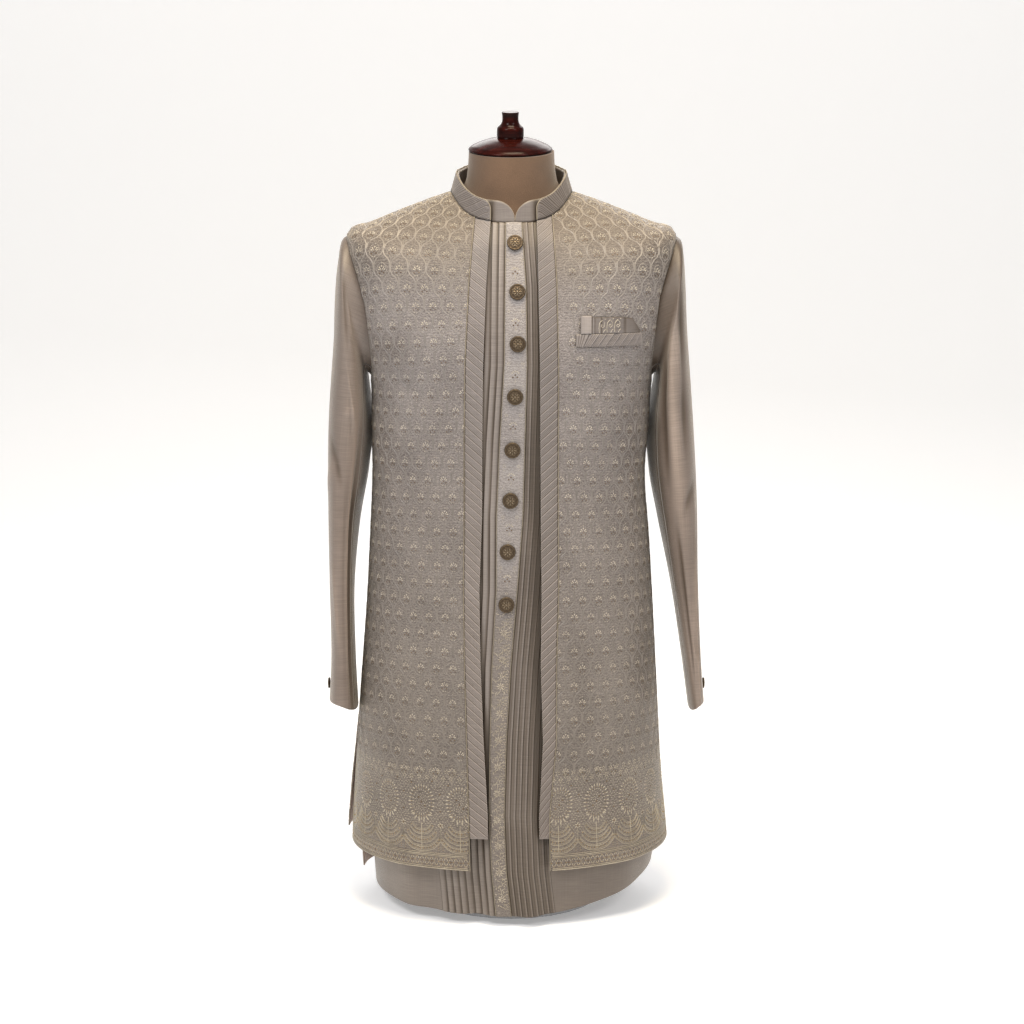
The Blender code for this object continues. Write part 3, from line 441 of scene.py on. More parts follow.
def side_angle(side, t, front, trim=0.0):
    """Angle of the side seam, armhole edge or shoulder seam, for rings t."""
    share = np.clip((t - ARMPIT) / (SHOULDER - ARMPIT), 0, 1)
    inside = (t >= ARMPIT) & (t <= SHOULDER)
    opening = 2 * ARMHOLE_SPREAD * np.sqrt(share * (1 - share)) + trim * inside
    away = opening + SEAM / (ring_at(t)["deep_back"] * MM)
    return side * (math.pi / 2 - away if front else math.pi / 2 + away)


def panel_rows(hem, skirt_rows=112, armhole_rows=30, shoulder_rows=16):
    """Ring positions of a panel's rows, closest at the armhole's ends."""
    turn = np.linspace(0, math.pi, armhole_rows)
    return np.concatenate((np.linspace(hem, ARMPIT, skirt_rows)[:-1],
                           ARMPIT + (SHOULDER - ARMPIT) * (1 - np.cos(turn)) / 2,
                           np.linspace(SHOULDER, NECK, shoulder_rows)[1:]))


print("front edges:", EDGE_COLUMNS[1:])

# %% [markdown]
# ## Turning a face into a piece of cloth
# Each pattern piece is a grid of points on the face. It is unwrapped while it is still a
# single layer, which gives back the flat cut in metres: the weave and the embroidery follow
# that cut, and its size is what the cutter would mark out. A Solidify modifier then gives
# the lined cloth its thickness inwards.

# %% Grids and their flat cuts
Sheet = namedtuple("Sheet", "piece thick flat area held rests_on")
sheets = []
grids = {}                           # piece's name -> its rows and columns of points


def to_object(name, mesh):
    thing = bpy.data.objects.new(name, mesh)
    bpy.context.scene.collection.objects.link(thing)
    return thing


def grid_mesh(name, points, wrap=False):
    """Mesh of quads over rows and columns of points, facing out where columns run to +X."""
    rows, columns = points.shape[:2]
    index = np.arange(rows * columns).reshape(rows, columns)
    right = np.roll(index, -1, axis=1) if wrap else index[:, 1:]
    left = index if wrap else index[:, :-1]
    faces = np.stack((left[:-1], right[:-1], right[1:], left[1:]), -1).reshape(-1, 4)
    mesh = bpy.data.meshes.new(name)
    mesh.from_pydata(points.reshape(-1, 3).tolist(), [], faces.tolist())
    mesh.shade_smooth()
    return mesh


def flat_cut(thing, grain):
    """Unwraps an open panel to its flat cut in metres; grain is two vertices, low and high."""
    mesh = thing.data
    mesh.uv_layers.new(name="cut")
    bpy.context.view_layer.objects.active = thing
    bpy.ops.object.select_all(action="DESELECT")
    thing.select_set(True)
    bpy.ops.object.mode_set(mode="EDIT")
    bpy.ops.mesh.select_all(action="SELECT")
    bpy.ops.uv.unwrap(method="ANGLE_BASED", margin=0.0)
    bpy.ops.object.mode_set(mode="OBJECT")
    uvs = np.zeros(len(mesh.loops) * 2)
    mesh.uv_layers["cut"].data.foreach_get("uv", uvs)
    uvs = uvs.reshape(-1, 2)
    owner = np.zeros(len(mesh.loops), int)
    mesh.loops.foreach_get("vertex_index", owner)
    corners = uvs.reshape(-1, 4, 2)
    flat = 0.5 * np.cross(corners[:, 2] - corners[:, 0], corners[:, 3] - corners[:, 1])
    real = sum(face.area for face in mesh.polygons)
    uvs *= math.sqrt(real / abs(flat.sum()))
    if flat.sum() < 0:
        uvs[:, 0] *= -1
    low, high = (uvs[owner == vertex].mean(0) for vertex in grain)
    turn = math.pi / 2 - math.atan2(*(high - low)[::-1])
    c, s = math.cos(turn), math.sin(turn)
    uvs = (uvs - low) @ np.array(((c, s), (-s, c)))
    mesh.uv_layers["cut"].data.foreach_set("uv", uvs.astype(np.float32).ravel())
    return np.ptp(uvs, axis=0), real


def strip_size(points, area):
    """Length of a bent strip along its longest row, and the height that its area gives."""
    rows = np.linalg.norm(np.diff(points, axis=1), axis=-1).sum(1)
    return np.array((rows.max(), area / rows.mean()))


print("ready to cut cloth of", CLOTH / MM, "mm")

# %% Cloth from a grid of points
def cloth(name, points, finish, grain_column, node, thick=CLOTH, held="draped",
          rests_on=("form_torso",), slot="silk", bent_strip=False, press=0.0):
    """Open panel on a grid of points, with its cut as UVs, waiting for its thickness.

    The shading value paints light and shade for the finish to read, from -1 for shade painted in
    folds, along seams and under other parts, to 1 for a highlight painted on a fold's edge."""
    thing = to_object(name, grid_mesh(name, points))
    grids[name] = points
    rows, columns = points.shape[:2]
    layer = thing.data.attributes.new("press", "FLOAT", "POINT")
    layer.data.foreach_set("value", np.broadcast_to(press, (rows, columns))
                           .astype(np.float32).ravel())
    size, area = flat_cut(thing, (grain_column, (rows - 1) * columns + grain_column))
    if bent_strip:
        size = strip_size(points, area)
    thing.data.materials.append(finish)
    sheets.append(Sheet(thing, thick, size, area, held, rests_on))
    belongs(thing, slot, node)
    print(f"{name}: cut {size[0] * 1000:.0f} x {size[1] * 1000:.0f} mm, "
          f"{len(thing.data.polygons)} faces")
    return thing

# %% [markdown]
# ## Silk
# The plain silk is woven from a fine warp and a slightly uneven weft, so it has short
# sideways slubs and a soft sheen that runs up the folds. The colour is a greyed taupe. The
# finish reads the flat cut, so slubs bend with the cloth: a stretched noise for slubs, a
# second for faint cloudiness, two fine waves for the weave, and sheen on the shader.

# %% Patterns, painted light and painted shade that finishes share
TINTED_TO = 1.1                      # height at which the tints of a finish end, metres


def cut_vector(bench, scale, turn=0.0):
    """The flat cut's coordinates in metres, scaled and turned."""
    flat = bench.add("ShaderNodeUVMap", uv_map="cut").outputs[0]
    return bench.add("ShaderNodeMapping", {"Vector": flat, "Scale": (*scale, 1.0),
                                           "Rotation": (0, 0, math.radians(turn))}).outputs[0]


def ramp(bench, value, stops):
    """Colour ramp from (position, colour) stops."""
    node = bench.add("ShaderNodeValToRGB", {"Fac": value})
    elements = node.color_ramp.elements
    while len(elements) < len(stops):
        elements.new(0.5)
    for element, (position, tone) in zip(elements, stops):
        element.position, element.color = position, tone
    return node.outputs["Color"]


def noise(bench, vector, detail=2.0, roughness=0.5, scale=1.0):
    return bench.add("ShaderNodeTexNoise", {"Vector": vector, "Scale": scale, "Detail": detail,
                                            "Roughness": roughness}).outputs[0]


def wave(bench, vector, scale, distortion, detail, detail_scale=1.0, way="X"):
    return bench.add("ShaderNodeTexWave", {"Vector": vector, "Scale": scale,
                                           "Distortion": distortion, "Detail": detail,
                                           "Detail Scale": detail_scale},
                     bands_direction=way).outputs[1]


def paint_light_and_shade(bench, tone):
    """Paints shade into the colour where the shading attribute is below zero, and a highlight where
    it is above zero.
    """
    press = bench.add("ShaderNodeAttribute", attribute_name="press").outputs["Fac"]
    level = bench.maths("MULTIPLY_ADD", press, 0.5, 0.5)
    change = ramp(bench, level, ((0.0, (0.20, 0.16, 0.11, 1)), (0.25, (0.55, 0.50, 0.44, 1)),
                                 (0.5, (1, 1, 1, 1)), (1.0, (1.62, 1.60, 1.55, 1))))
    return bench.maths("MULTIPLY", tone, change, kind="ShaderNodeVectorMath")


def paint_light_by_height(bench, tone, light_tints):
    """Multiplies a colour by tints at heights in metres, painting in light that changes with height;
    no tints leave it as it is.
    """
    if not light_tints:
        return tone
    height = bench.add("ShaderNodeSeparateXYZ", {"Vector": bench.place()}).outputs["Z"]
    share = bench.spread(height, 0.0, 1.0, 0.0, TINTED_TO)
    tint = ramp(bench, share, [(z / TINTED_TO, (*rgb, 1)) for z, rgb in light_tints])
    return bench.maths("MULTIPLY", tone, tint, kind="ShaderNodeVectorMath")


print("tints reach up to", TINTED_TO, "m")

# %% Silk finishes
def silk_finish(name, dark, middle, light, roughness=0.40, light_tints=None):
    material, bench, shader = new_finish(name, middle, roughness, sheen_weight=0.30,
                                         sheen_roughness=0.35, anisotropic=0.35,
                                         specular_ior_level=0.55)
    shader.inputs["Sheen Tint"].default_value = (1.0, 0.95, 0.88, 1.0)
    slubs = noise(bench, cut_vector(bench, (28, 1150)), 3.0, 0.62)
    warp = noise(bench, cut_vector(bench, (1300, 9)), 2.0, 0.5)
    cloud = noise(bench, cut_vector(bench, (7, 5)), 2.0)
    mixed = bench.maths("MULTIPLY_ADD", slubs, 0.62,
                        bench.maths("MULTIPLY_ADD", warp, 0.25,
                                    bench.maths("MULTIPLY_ADD", cloud, 0.45, -0.20)))
    tone = paint_light_and_shade(bench, ramp(bench, mixed, ((0.22, dark), (0.46, middle), (0.74, light))))
    threads = [wave(bench, cut_vector(bench, (1, 1)), 520.0, 0.6, 1.0, way=way) for way in "XY"]
    weave = bench.maths("MULTIPLY_ADD", slubs, 1.4, bench.maths("MULTIPLY", *threads))
    bench.finish(shader, Base_Color=paint_light_by_height(bench, tone, light_tints),
                 Normal=bench.bump(weave, 0.32, 0.00022),
                 Roughness=bench.spread(slubs, roughness - 0.06, roughness + 0.09, 0.3, 0.7))
    return material


# The tints by height paint the light, which changes up the coat.
SILK = silk_finish("taupe_silk", colour(98, 88, 81), colour(121, 110, 102),
                   colour(143, 131, 123), light_tints=((0.30, (1.02, 0.99, 0.98)),
                                                 (0.55, (0.97, 0.94, 0.93)),
                                                 (0.85, (0.96, 0.98, 1.02))))
# A copy of the silk painted cooler and a little lighter, for the cool front light on the under coat's
# fronts and plain collars.
COOL_LIT_SILK = silk_finish("taupe_silk_along_the_grain", colour(103, 96, 93), colour(126, 119, 115),
                         colour(150, 143, 139), light_tints=((0.0, (0.98, 0.94, 0.88)),
                                                       (0.3, (1.0, 0.99, 0.98))))
# The lining's own warm colour, painted lighter still for the light that reaches the backs' insides
# past the side slits.
LINING_PAINTED_LIT = silk_finish("warm_plain_lining", colour(150, 122, 105), colour(176, 148, 130),
                     colour(196, 168, 150))
TUCKED = silk_finish("tucked_taupe_silk", colour(106, 100, 98), colour(129, 122, 120),
                     colour(151, 144, 143), roughness=0.42,
                     light_tints=((0.15, (0.99, 0.96, 0.91)), (0.45, (0.98, 0.96, 0.92)),
                            (0.75, (1.0, 1.0, 0.99))))
print("silk finishes made")

# %% [markdown]
# ## Embroidered ground
# The over coat is worked all over. Between the motifs the machine lays short slanting
# stitches, so the ground is never smooth silk. It is drawn here as fine slanting ribs with
# a warmer thread on a greyer ground; the raised motifs come later as real threads.

# %% Painted light by height
# Height in metres and tint, mostly painted light: the chest is painted lighter, the shoulders
# darker and golden as the overhead lamp lights them, and the hem darker. The hem's warmer tone
# is partly the thicker stitching there.
LIGHT_AND_THREAD_TINTS = (
    (0.08, (0.93, 0.87, 0.76)), (0.22, (0.89, 0.86, 0.79)), (0.32, (1.03, 1.00, 0.93)),
    (0.60, (1.13, 1.11, 1.09)), (0.70, (1.26, 1.25, 1.25)), (0.79, (1.32, 1.31, 1.31)),
    (0.84, (1.22, 1.21, 1.20)), (0.87, (1.05, 1.02, 0.96)), (0.93, (0.88, 0.81, 0.69)),
    (0.98, (0.76, 0.69, 0.54)))
# The placket's tints paint it darker low down and lighter at the chest.
PLACKET_LIGHT_TINTS = ((0.10, (0.70, 0.67, 0.62)), (0.40, (0.74, 0.72, 0.69)),
                 (0.50, (1.04, 1.05, 1.06)), (0.90, (1.14, 1.16, 1.18)))
print("heights tinted:", len(LIGHT_AND_THREAD_TINTS), "and", len(PLACKET_LIGHT_TINTS))

# %% Embroidered finish
def embroidered_finish(name, ground, thread, pale, light_tints):
    material, bench, shader = new_finish(name, ground, 0.5, sheen_weight=0.22,
                                         sheen_roughness=0.4, specular_ior_level=0.45)
    shader.inputs["Sheen Tint"].default_value = (1.0, 0.95, 0.85, 1.0)
    ribs = wave(bench, cut_vector(bench, (1, 1), 45.0), 205.0, 3.2, 2.0, 1.6)
    breaks = noise(bench, cut_vector(bench, (420, 420)), 2.0, 0.55)
    cloud = noise(bench, cut_vector(bench, (16, 13)), 3.0)
    runs = wave(bench, cut_vector(bench, (1, 1)), 88.0, 9.0, 2.0, 2.2, way="Y")
    stitch = bench.maths("MULTIPLY", ribs, bench.spread(breaks, 0.0, 1.0, 0.42, 0.58))
    stitch = bench.maths("MULTIPLY_ADD", runs, 0.5, bench.maths("MULTIPLY", stitch, 0.6))
    level = bench.maths("MULTIPLY_ADD", stitch, 0.62,
                        bench.maths("MULTIPLY_ADD", cloud, 0.5, -0.10))
    tone = paint_light_and_shade(bench, ramp(bench, level, ((0.12, ground), (0.45, thread), (0.85, pale))))
    relief = bench.maths("MULTIPLY_ADD", breaks, 0.5, stitch)
    bench.finish(shader, Base_Color=paint_light_by_height(bench, tone, light_tints),
                 Normal=bench.bump(relief, 0.65, 0.0006),
                 Roughness=bench.spread(stitch, 0.55, 0.38))
    return material


GROUND = embroidered_finish("embroidered_silk_ground", colour(88, 82, 80),
                            colour(117, 111, 109), colour(147, 141, 137), LIGHT_AND_THREAD_TINTS)
PLACKET_GROUND = embroidered_finish("embroidered_placket_ground", colour(116, 109, 107),
                                    colour(140, 133, 130), colour(162, 156, 152),
                                    PLACKET_LIGHT_TINTS)
print("embroidered ground made")

# %% [markdown]
# ## Under coat
# The under coat shows between the bands, below the over coat's hem and at the sleeves. Its
# fronts carry eight pin tucks each beside the placket: narrow pleats stitched down along
# one side, so that each free edge lies away from the placket and throws a thin shadow. A
# bump map could fake them, but the folds show at the hem's edge, so each tuck is a few
# columns of the cloth's own grid, lifted by a short profile. The profile also paints shade
# into the colour at each fold's foot and a highlight on its edge, and shade is painted
# beside the bands and under the over coat's hem.

# %% Fronts of the under coat
PIN_TUCKS, TUCK_RISE, PLACKET_SIDE = 8, 1.1 * MM, 0.8 * MM
PIN_PITCH = {RIGHT: 8.9 * MM, LEFT: 7.3 * MM}
PIN_PROFILE = {                      # share of the pitch, rise, and painted shading: shade below zero, highlight above
    RIGHT: ((0.02, 0.02, -0.95), (0.15, 0.14, -0.55), (0.34, 0.50, 0.0), (0.60, 0.85, 0.2),
            (0.80, 1.0, 0.35), (0.87, 0.72, -0.5), (0.92, 0.02, -1.0)),
    LEFT: ((0.02, 0.02, -1.0), (0.12, 0.22, -0.5), (0.34, 0.50, -0.30), (0.44, 0.38, -0.75),
           (0.54, 0.60, -0.30), (0.72, 0.92, -0.12), (0.82, 1.0, 0.55), (0.87, 0.72, -0.5),
           (0.93, 0.02, -1.0)),
}
FRONT_SHADE = {RIGHT: 0.0, LEFT: 0.15}
BAND_SHADOW = {                           # height, depth of the shadow painted beside the band, its reach
    RIGHT: ((110, 0.0, 4), (140, 0.95, 9), (180, 1.0, 15), (240, 1.0, 12), (300, 0.95, 5),
            (450, 0.9, 2.6), (936, 0.95, 3.4)),
    LEFT: ((110, 0.0, 4), (135, 0.9, 6), (250, 0.95, 12), (600, 0.95, 12), (760, 0.9, 5),
           (936, 0.95, 4)),
}


def columns_between(start, end, shares):
    return start[:, None] + (end - start)[:, None] * shares[None, :]


def placket_middle(t):
    return (edge_x("placket_right", t) + edge_x("placket_left", t)) / 2


def under_front(side):
    t = panel_rows(UNDER_HEM)
    seam_angle = side_angle(side, t, True)
    beside = edge_x("placket_" + WORD[side], t) + side * PLACKET_SIDE
    pitch = PIN_PITCH[side]
    angles = [angle_at(placket_middle(t) + side * SEAM / 2, t, under_face)]
    lifts, painted_shadings = [0.0], [0.0]
    for tuck in range(PIN_TUCKS):
        for share, rise, press in PIN_PROFILE[side]:
            angles.append(angle_at(beside + side * pitch * (tuck + share), t, under_face))
            lifts.append(rise * TUCK_RISE)
            painted_shadings.append(press)
    last = angle_at(beside + side * pitch * PIN_TUCKS, t, under_face)
    plain = columns_between(last, seam_angle, np.linspace(0, 1, 34))
    angles = np.concatenate((np.stack(angles, 1), plain), 1)
    lifts, painted_shadings = (np.concatenate((values, np.zeros(plain.shape[1])))
                      for values in (lifts, painted_shadings))
    points = under_face(angles, t[:, None], lifts[None, :])
    height, depth, reach = np.array(BAND_SHADOW[side], float).T
    beyond = side * (edge_x("band_" + WORD[side], t)[:, None] - points[..., 0]) / MM
    low = points[..., 2] / MM
    band_shadow = np.interp(low, height, depth) * np.exp(-(np.clip(beyond, 0, None)
                                                      / np.interp(low, height, reach)) ** 2)
    unevenness = 0.85 + 0.15 * np.sin(points[..., 2] * 31 + angles * 9)
    below = 0.15 * soft_step((150 - low) / 25)       # shadow painted under the over coat's hem
    # Shade and highlights painted into the colour: the tucks' folds, the band's shadow, the shadow
    # under the hem and a darker left front.
    press = np.clip(painted_shadings * unevenness * (1 - 0.5 * band_shadow) - band_shadow - below
                    - FRONT_SHADE[side], -1, 1)
    grain = len(PIN_PROFILE[side]) * PIN_TUCKS + 1
    if side == RIGHT:
        points, press, grain = points[:, ::-1], press[:, ::-1], angles.shape[1] - 1 - grain
    cloth(f"under_coat_front_{WORD[side]}", points, COOL_LIT_SILK, grain,
          f"under_front_{WORD[side]}", press=press)


for side in (RIGHT, LEFT):
    under_front(side)

# %% Backs of both coats
UNDER_BACK_HEM, OVER_BACK_HEM = 0.35, 1.15


def back_panel(name, face, finish, hem, trim, node, slot, columns=96):
    t = panel_rows(hem)
    start = side_angle(LEFT, t, False, trim)
    end = side_angle(RIGHT, t, False, trim) + 2 * math.pi
    share = np.linspace(0, 1, columns + 1)
    points = face(columns_between(start, end, share), t[:, None])
    edge = soft_step((0.07 - np.minimum(share, 1 - share)) / 0.05)
    press = 0.9 * edge * soft_step((0.33 - points[..., 2]) / 0.1)   # light painted on the slit edges
    return cloth(name, points, finish, columns // 2, node, slot=slot, press=press)


under_back = back_panel("under_coat_back", under_back_face, SILK, UNDER_BACK_HEM, 0.0,
                        "under_back", "silk", columns=64)

# %% [markdown]
# ## Placket
# The placket is a narrow embroidered strip on top of the meeting edges, crowned a little by
# the layers beneath it. It is a sheet of its own, since it is cut and embroidered apart, and
# its columns follow the two edges of the table, so that it narrows and wanders as they do.

# %% Placket
CROWN = 0.5 * MM                     # how much higher the strip's middle stands than its edges


def placket_strip():
    t = panel_rows(UNDER_HEM, skirt_rows=150)
    shares = np.linspace(0, 1, 11)
    x = columns_between(edge_x("placket_right", t), edge_x("placket_left", t), shares)
    angles = angle_at(x, t[:, None], under_face)
    crown = CROWN * (1 - (2 * shares - 1) ** 4)
    return cloth("placket_strip", under_face(angles, t[:, None], LYING + CLOTH + crown - CROWN),
                 PLACKET_GROUND, len(shares) // 2, "placket", thick=1.7 * MM, held="stretched",
                 rests_on=("under_coat_front_right", "under_coat_front_left"),
                 slot="embroidered_silk")


placket = placket_strip()

# %% [markdown]
# ## Sleeves
# A tailored sleeve is cut in two: a wide upper sleeve and a narrow under sleeve, seamed down
# the front and the back of the arm. With no arm inside, it hangs nearly flat and breaks into
# long, shallow creases at the elbow. A cloth simulation could find such creases; here they
# are soft lines placed one by one, because they have to lie where this sleeve has them.

# %% Sleeve face
SLEEVE_COLUMNS = ("z_out", "z_in", "out_right", "in_right", "out_left", "in_left", "y_front",
                  "y_back", "behind", "flat")
SLEEVE_RINGS = np.array((
    (904, 728, 228.5, 195.5, 228.5, 195.5, -62, 66, 0, 0),    # cap
    (866, 694, 233.0, 196.5, 231.0, 195.5, -73, 75, 4, 0),    # upper arm
    (785, 648, 238.5, 196.0, 236.5, 192.0, -78, 75, 9, 0),    # biceps
    (668, 590, 247.0, 202.0, 245.5, 194.5, -77, 66, 9, 0),    # above elbow
    (560, 525, 248.5, 211.5, 251.5, 204.5, -78, 57, 5, 0),    # elbow
    (450, 435, 247.5, 215.5, 253.8, 219.0, -81, 47, 0, 0),    # forearm
    (352, 345, 246.0, 214.5, 258.0, 233.0, -84, 36, 0, 0),    # wrist
    (287, 272, 249.0, 211.0, 262.5, 243.0, -86, 28, 0, 5),    # cuff
))
SLEEVE_SQUARE, BEHIND_TURN = 0.06, math.radians(215)
FRONT_SEAM, BACK_SEAM = math.radians(148.0), math.radians(247.5)

def armhole_edge(side, turn):
    """Under coat's armhole edge; turn runs from the shoulder over the front."""
    t = ARMPIT + (SHOULDER - ARMPIT) * (1 + np.cos(turn)) / 2
    front = np.sin(turn) >= 0
    angles = np.where(front, side_angle(side, t, True), side_angle(side, t, False))
    return under_face(angles, t)


def sleeve_rings(side, turn):
    """Points of every sleeve ring at each turn; turn runs from the outer side to the front."""
    ring = dict(zip(SLEEVE_COLUMNS, SLEEVE_RINGS.T[:, :, None]))
    out, inner = ring["out_" + WORD[side]], ring["in_" + WORD[side]]
    c, s = np.cos(turn), np.sin(turn)
    full = 1 + SLEEVE_SQUARE * np.sin(2 * turn) ** 2
    x = (out + inner) / 2 + (out - inner) / 2 * c * full
    y = (ring["y_front"] + ring["y_back"]) / 2 + (ring["y_front"] - ring["y_back"]) / 2 * s * full
    z = (ring["z_out"] + ring["z_in"]) / 2 + (ring["z_out"] - ring["z_in"]) / 2 * c
    x = x - ring["behind"] * np.maximum(np.cos(turn - BEHIND_TURN), 0) ** 4
    z = z + ring["flat"] * np.maximum(s, 0) ** 2
    return np.stack((side * x, y, z), -1) * MM


def sleeve_face(side, turn, rows):
    edge, rings = armhole_edge(side, turn), sleeve_rings(side, turn)
    start = edge + unit(rings[0] - edge) * SEAM * 1.5
    return through(np.concatenate((start[None], rings)), rows)


print("sleeve rings:", len(SLEEVE_RINGS))

# %% Creases of the sleeves
SleeveCrease = namedtuple("SleeveCrease", "turn row turn_end row_end width depth")
SLEEVE_CREASES = {
    RIGHT: ((124, 2.9, 119, 8.4, 3.2, 2.6), (137, 2.6, 132, 8.4, 5, -2.4),
            (82, 2.6, 120, 3.3, 4, 1.7), (84, 3.5, 118, 3.0, 4, 1.5),
            (98, 2.9, 114, 3.7, 3.5, -1.4), (80, 1.1, 104, 1.7, 5, 1.2),
            (40, 4.0, 96, 4.5, 10, -1.8), (20, 4.9, 74, 4.2, 9, 1.4),
            (-60, 3.6, -10, 4.4, 12, -2.0), (60, 5.6, 88, 6.9, 10, 1.5),
            (-30, 5.2, -70, 6.6, 12, -1.5), (60, 0.9, 86, 2.4, 12, -1.6),
            (210, 3.2, 190, 4.8, 12, -2.0), (10, 1.6, 24, 3.0, 16, 1.6)),
    LEFT: ((44, 4.6, 78, 8.3, 3.2, 2.6), (30, 4.6, 64, 8.3, 5, -2.2),
           (92, 6.7, 64, 7.2, 4, 1.5), (98, 1.2, 92, 4.8, 12, 2.2),
           (122, 1.4, 118, 4.6, 9, -3.0), (58, 1.6, 66, 4.4, 9, -2.6),
           (30, 4.6, 92, 5.0, 9, -1.8), (112, 4.8, 100, 7.5, 9, -2.6),
           (76, 2.2, 60, 3.6, 12, 2.2), (-50, 3.4, -8, 4.6, 12, -2.0),
           (48, 5.6, 80, 6.8, 10, 1.4), (-36, 5.4, -72, 6.8, 12, -1.5),
           (205, 3.4, 188, 5.0, 12, -2.0), (14, 1.4, 4, 2.9, 16, 1.5)),
}
ROW_HEIGHT, TURN_WIDTH = 90.0, 1.1   # millimetres for one sleeve row and for one degree


def sleeve_crease_height(side, turn, rows):
    total = np.zeros((len(rows), len(turn)))
    degrees = np.degrees(turn)[None, :]
    for crease in map(SleeveCrease._make, SLEEVE_CREASES[side]):
        x = ((degrees - crease.turn + 180) % 360 - 180) * TURN_WIDTH
        y = (rows[:, None] - crease.row) * ROW_HEIGHT
        along = (crease.turn_end - crease.turn) * TURN_WIDTH
        up = (crease.row_end - crease.row) * ROW_HEIGHT
        total += crease.depth * soft_line(x, y, along, up, crease.width, 2.2, 0.2)
    return total * MM


print("sleeve creases:", sum(map(len, SLEEVE_CREASES.values())))

# %% How the sleeves take the light
# For each sleeve: the row above which light reaches farther round, turn and rows of the sheen
# down the front, then how dark the outer side and the cap are, how far the cap's shade runs
# down in rows, and how light the cuff is.
SleeveLight = namedtuple("SleeveLight", "open_rows sheen_turn sheen_start sheen_end outer cap "
                                        "cap_rows cuff")
SLEEVE_LIGHT = {RIGHT: SleeveLight(4.8, 122, 0.2, 4.6, 0.04, 0.24, 2.0, 0.0),
                LEFT: SleeveLight(3.2, 96, 1.0, 5.6, 0.16, 0.58, 2.6, 0.24)}


def sleeve_shade(side, turn, rows):
    """Shade on the inner back and cap of the flat sleeve, and the sheen down its front."""
    light = SLEEVE_LIGHT[side]
    degrees, rows = np.degrees(turn)[None, :] % 360, rows[:, None]
    turned = degrees - 126 - 26 * soft_step(light.open_rows - rows)
    inner = soft_step(turned / 22) * soft_step((250 - degrees) / 26)
    outer = np.exp(-(((degrees - 20 + 180) % 360 - 180) / 34) ** 2)
    high = np.exp(-(rows / light.cap_rows) ** 2)
    sheen = (np.exp(-((degrees - light.sheen_turn) / 24) ** 2)
             * soft_step(rows - light.sheen_start) * soft_step(light.sheen_end - rows))
    return (0.56 * sheen - 0.72 * inner * (1 - 0.3 * high) - light.outer * outer
            - light.cap * high + light.cuff * soft_step(rows - 5.8))


print("sleeve shade from row", SLEEVE_LIGHT[RIGHT].sheen_start, "on the right")

# %% Sleeves
def sleeve_panel(side, name, first, last, columns, node):
    trim = math.radians(0.25)
    turn = np.linspace(first + trim, last - trim, columns + 1)
    rows = np.concatenate((np.linspace(0, 1, 13)[:-1], np.linspace(1, 8, 92)))
    points = sleeve_face(side, turn, rows)
    around = sleeve_face(side, turn + 0.02, rows) - sleeve_face(side, turn - 0.02, rows)
    down = np.gradient(points, axis=0)
    outward = unit(np.cross(around, down)) * side
    crease = sleeve_crease_height(side, turn, rows)
    points = points + outward * crease[..., None]
    # Shade and sheen painted into the colour, and each crease painted lighter on its ridge and darker
    # in its trough.
    press = sleeve_shade(side, turn, rows) + 0.30 * crease / MM
    points, press = ((points[::-1, ::-1], press[::-1, ::-1]) if side == LEFT
                     else (points[::-1], press[::-1]))
    cloth(name, points, SILK, columns // 2, node, held="hung", press=np.clip(press, -1, 1))


for side in (RIGHT, LEFT):
    word = WORD[side]
    sleeve_panel(side, f"upper_sleeve_silk_{word}", BACK_SEAM - 2 * math.pi, FRONT_SEAM, 60,
                 f"upper_sleeve_{word}")
    sleeve_panel(side, f"under_sleeve_silk_{word}", FRONT_SEAM, BACK_SEAM, 36,
                 f"under_sleeve_{word}")

# %% [markdown]
# ## Over coat
# The over coat's fronts run from the side seam and armhole to the sewn-on bands; the back is
# one piece. They are a hand's breadth shorter than the under coat. They are drawn on the
# under coat's face, moved out by the room between the layers, because an over coat modelled
# apart would cut into the under coat at some fold.

# %% Fronts and back of the over coat
OVER_COLUMNS = 48
SoftShade = namedtuple("SoftShade", "side x z wide tall depth")   # shade painted in soft patches, millimetres; a depth below zero paints light
SOFT_SHADES = (SoftShade(RIGHT, 158, 768, 26, 20, 0.26), SoftShade(RIGHT, 172, 640, 20, 60, 0.16),
               SoftShade(RIGHT, 150, 300, 26, 60, 0.10), SoftShade(LEFT, 165, 620, 18, 60, 0.16),
               SoftShade(LEFT, 90, 330, 16, 90, 0.10), SoftShade(RIGHT, 110, 700, 30, 26, -0.08))


def over_front(side):
    t = panel_rows(OVER_HEM)
    field = "front_" + WORD[side]
    shares = np.append(np.linspace(0, 0.994, OVER_COLUMNS), 1)
    angles = columns_between(side_angle(side, t, True, OVER_TRIM),
                             angle_at(edge_x(field, t), t, over_face), shares)
    points = over_face(angles, t[:, None])
    x, z = side * points[..., 0] / MM, points[..., 2] / MM
    press = np.where(shares == 1, -0.9, 0.0) - 0.8 * np.exp(-(shares / 0.06) ** 2) * soft_step(
        (z - 430) / 120) * soft_step((800 - z) / 80)             # the hanging sleeve's shadow, painted; shade is painted along the front edge too
    for shade in SOFT_SHADES:
        if shade.side == side:
            press = press - shade.depth * np.exp(-((x - shade.x) / shade.wide) ** 2
                                                 - ((z - shade.z) / shade.tall) ** 2)
    grain = angles.shape[1] - 1
    if side == LEFT:
        points, press, grain = points[:, ::-1], press[:, ::-1], 0
    return cloth(f"over_coat_front_{WORD[side]}", points, GROUND, grain,
                 f"over_front_{WORD[side]}", slot="embroidered_silk",
                 rests_on=(f"under_coat_front_{WORD[side]}", "under_coat_back"),
                 press=np.clip(press, -1, 1))


over_fronts = {side: over_front(side) for side in (RIGHT, LEFT)}
over_back = back_panel("over_coat_back", over_back_face, GROUND, OVER_BACK_HEM, OVER_TRIM,
                       "over_back", "embroidered_silk")

